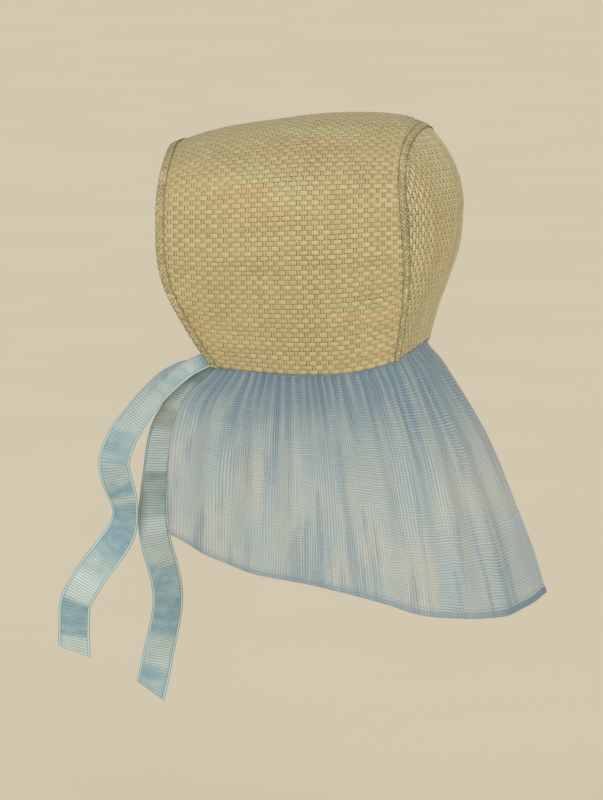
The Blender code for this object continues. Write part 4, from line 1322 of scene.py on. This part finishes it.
def lay_floor(context):
    """Pale floor that runs out to the horizon."""
    stage, colours = context.scene.bonnet_stage, context.scene.bonnet_colours
    radii = np.array([*FLOOR_RINGS, stage.floor_radius])[:, None]
    angles = 2 * math.pi * np.arange(FLOOR_SPOKES) / FLOOR_SPOKES
    level = np.full((len(radii), FLOOR_SPOKES), CAD_BOX[0].z - stage.floor_drop)
    points = np.stack([radii * np.cos(angles), radii * np.sin(angles), level], axis=-1)
    number = np.arange(level.size).reshape(level.shape)[1:]
    beside = np.roll(number, -1, axis=1)
    faces = np.stack([number[:-1], beside[:-1], beside[1:], number[1:]], axis=-1).reshape(-1, 4)
    material = bpy.data.materials.new("paper floor")
    material.use_nodes = True
    tree = material.node_tree
    shader = tree.nodes["Principled BSDF"]
    shader.inputs["Roughness"].default_value = 1.0
    shader.inputs["Specular IOR Level"].default_value = 0.0
    place = node(tree, "ShaderNodeTexCoord").outputs["Object"]
    mottle = spread(tree, noise(tree, place, 2.0), 0.3, 0.7, 0.98, 1.0)
    colour = mix(tree, 1.0, colour_of(colours.paper), mottle, "MULTIPLY")
    tree.links.new(colour, shader.inputs["Base Color"])
    mesh = bpy.data.meshes.new("floor")
    mesh.from_pydata(points.reshape(-1, 3).tolist(), [], [*faces.tolist(), number[0].tolist()])
    mesh.materials.append(material)
    floor = bpy.data.objects.new("floor", mesh)
    context.scene.collection.objects.link(floor)


def light_stage(context):
    """Soft sky with a plain horizon, and the suns."""
    stage, colours = context.scene.bonnet_stage, context.scene.bonnet_colours
    world = bpy.data.worlds.new("Soft sky")
    world.use_nodes = True
    sky = world.node_tree
    light = sky.nodes["Background"]
    light.inputs["Color"].default_value = SKY_COLOUR
    light.inputs["Strength"].default_value = SKY_STRENGTH
    seen = node(sky, "ShaderNodeBackground", {"Color": colour_of(colours.horizon)})
    straight = node(sky, "ShaderNodeLightPath").outputs["Is Camera Ray"]
    both = node(sky, "ShaderNodeMixShader", {0: straight, 1: light.outputs[0], 2: seen.outputs[0]})
    sky.links.new(both.outputs[0], sky.nodes["World Output"].inputs["Surface"])
    context.scene.world = world
    for name, turn, height, strength, softness in SUNS:
        sun = bpy.data.lights.new(name, "SUN")
        sun.energy = strength
        sun.angle = math.radians(softness)
        direction = way_out(stage.azimuth + math.radians(turn), math.radians(height))
        place_facing(context, name, sun, direction * SUN_DISTANCE, direction)


def set_camera(context):
    """The camera, as far away as the width of one pixel asks."""
    stage = context.scene.bonnet_stage
    camera = bpy.data.cameras.new("camera")
    camera.lens = stage.lens
    camera.sensor_width = SENSOR_WIDTH
    direction = way_out(stage.azimuth, stage.elevation)
    distance = stage.scale * PICTURE_HEIGHT * stage.lens / SENSOR_WIDTH
    location = Vector(stage.target) + direction * distance
    context.scene.camera = place_facing(context, "camera", camera, location, direction)
    context.scene.view_settings.view_transform = "Standard"


class BONNET_OT_stage(bpy.types.Operator):
    """Lays the floor, the light and the camera"""
    bl_idname = "bonnet.stage"
    bl_label = "Stage"

    def execute(self, context):
        lay_floor(context)
        light_stage(context)
        set_camera(context)
        return {"FINISHED"}


class BONNET_OT_brim(bpy.types.Operator):
    """Weaves the brim from long and crossing straws"""
    bl_idname = "bonnet.brim"
    bl_label = "Brim"

    def execute(self, context):
        weave_brim(context.scene.bonnet_sizes, finishes(context))
        return {"FINISHED"}


class BONNET_OT_back(bpy.types.Operator):
    """Weaves the domed back, with its straws running down"""
    bl_idname = "bonnet.back"
    bl_label = "Back"

    def execute(self, context):
        weave_back(context.scene.bonnet_sizes, finishes(context))
        return {"FINISHED"}


class BONNET_OT_plaits(bpy.types.Operator):
    """Plaits the binding of the front edge and the band over the seam"""
    bl_idname = "bonnet.plaits"
    bl_label = "Plaits"

    def execute(self, context):
        plait_binding(context.scene.bonnet_sizes, finishes(context))
        plait_seam(context.scene.bonnet_sizes, finishes(context))
        return {"FINISHED"}


class BONNET_OT_cape(bpy.types.Operator):
    """Gathers the cotton cape and stitches its hem"""
    bl_idname = "bonnet.cape"
    bl_label = "Cape"

    def execute(self, context):
        sew_cape(context.scene.bonnet_sizes, finishes(context))
        return {"FINISHED"}


class BONNET_OT_ties(bpy.types.Operator):
    """Makes the two ribbon ties"""
    bl_idname = "bonnet.ties"
    bl_label = "Ties"

    def execute(self, context):
        for tie in TIES:
            sew_tie(*tie, context.scene.bonnet_sizes, finishes(context))
        return {"FINISHED"}


class BONNET_PT_pieces(bpy.types.Panel):
    """Lists the bonnet's pieces with their sizes and colours"""
    bl_idname = "BONNET_PT_pieces"
    bl_label = "Straw Bonnet"
    bl_space_type = "VIEW_3D"
    bl_region_type = "UI"
    bl_category = "Bonnet"

    def draw(self, context):
        layout = self.layout
        for operator in OPERATORS:
            layout.operator(operator.bl_idname)
        for group in ("bonnet_sizes", "bonnet_colours", "bonnet_stage"):
            box = layout.box()
            settings = getattr(context.scene, group)
            for name in settings.__annotations__:
                box.prop(settings, name)


OPERATORS = (
    BONNET_OT_stage, BONNET_OT_brim, BONNET_OT_back,
    BONNET_OT_plaits, BONNET_OT_cape, BONNET_OT_ties,
)
SETTINGS = (
    ("bonnet_sizes", BonnetSizes),
    ("bonnet_colours", BonnetColours),
    ("bonnet_stage", StageSettings),
)


def register():
    for name, group in SETTINGS:
        bpy.utils.register_class(group)
        setattr(bpy.types.Scene, name, PointerProperty(type=group))
    for item in (*OPERATORS, BONNET_PT_pieces):
        bpy.utils.register_class(item)


def unregister():
    for item in reversed((*OPERATORS, BONNET_PT_pieces)):
        bpy.utils.unregister_class(item)
    for name, group in reversed(SETTINGS):
        delattr(bpy.types.Scene, name)
        bpy.utils.unregister_class(group)


def main():
    register()
    bpy.ops.bonnet.stage()
    bpy.ops.bonnet.brim()
    bpy.ops.bonnet.back()
    bpy.ops.bonnet.plaits()
    bpy.ops.bonnet.cape()
    bpy.ops.bonnet.ties()


if __name__ == "__main__":
    main()
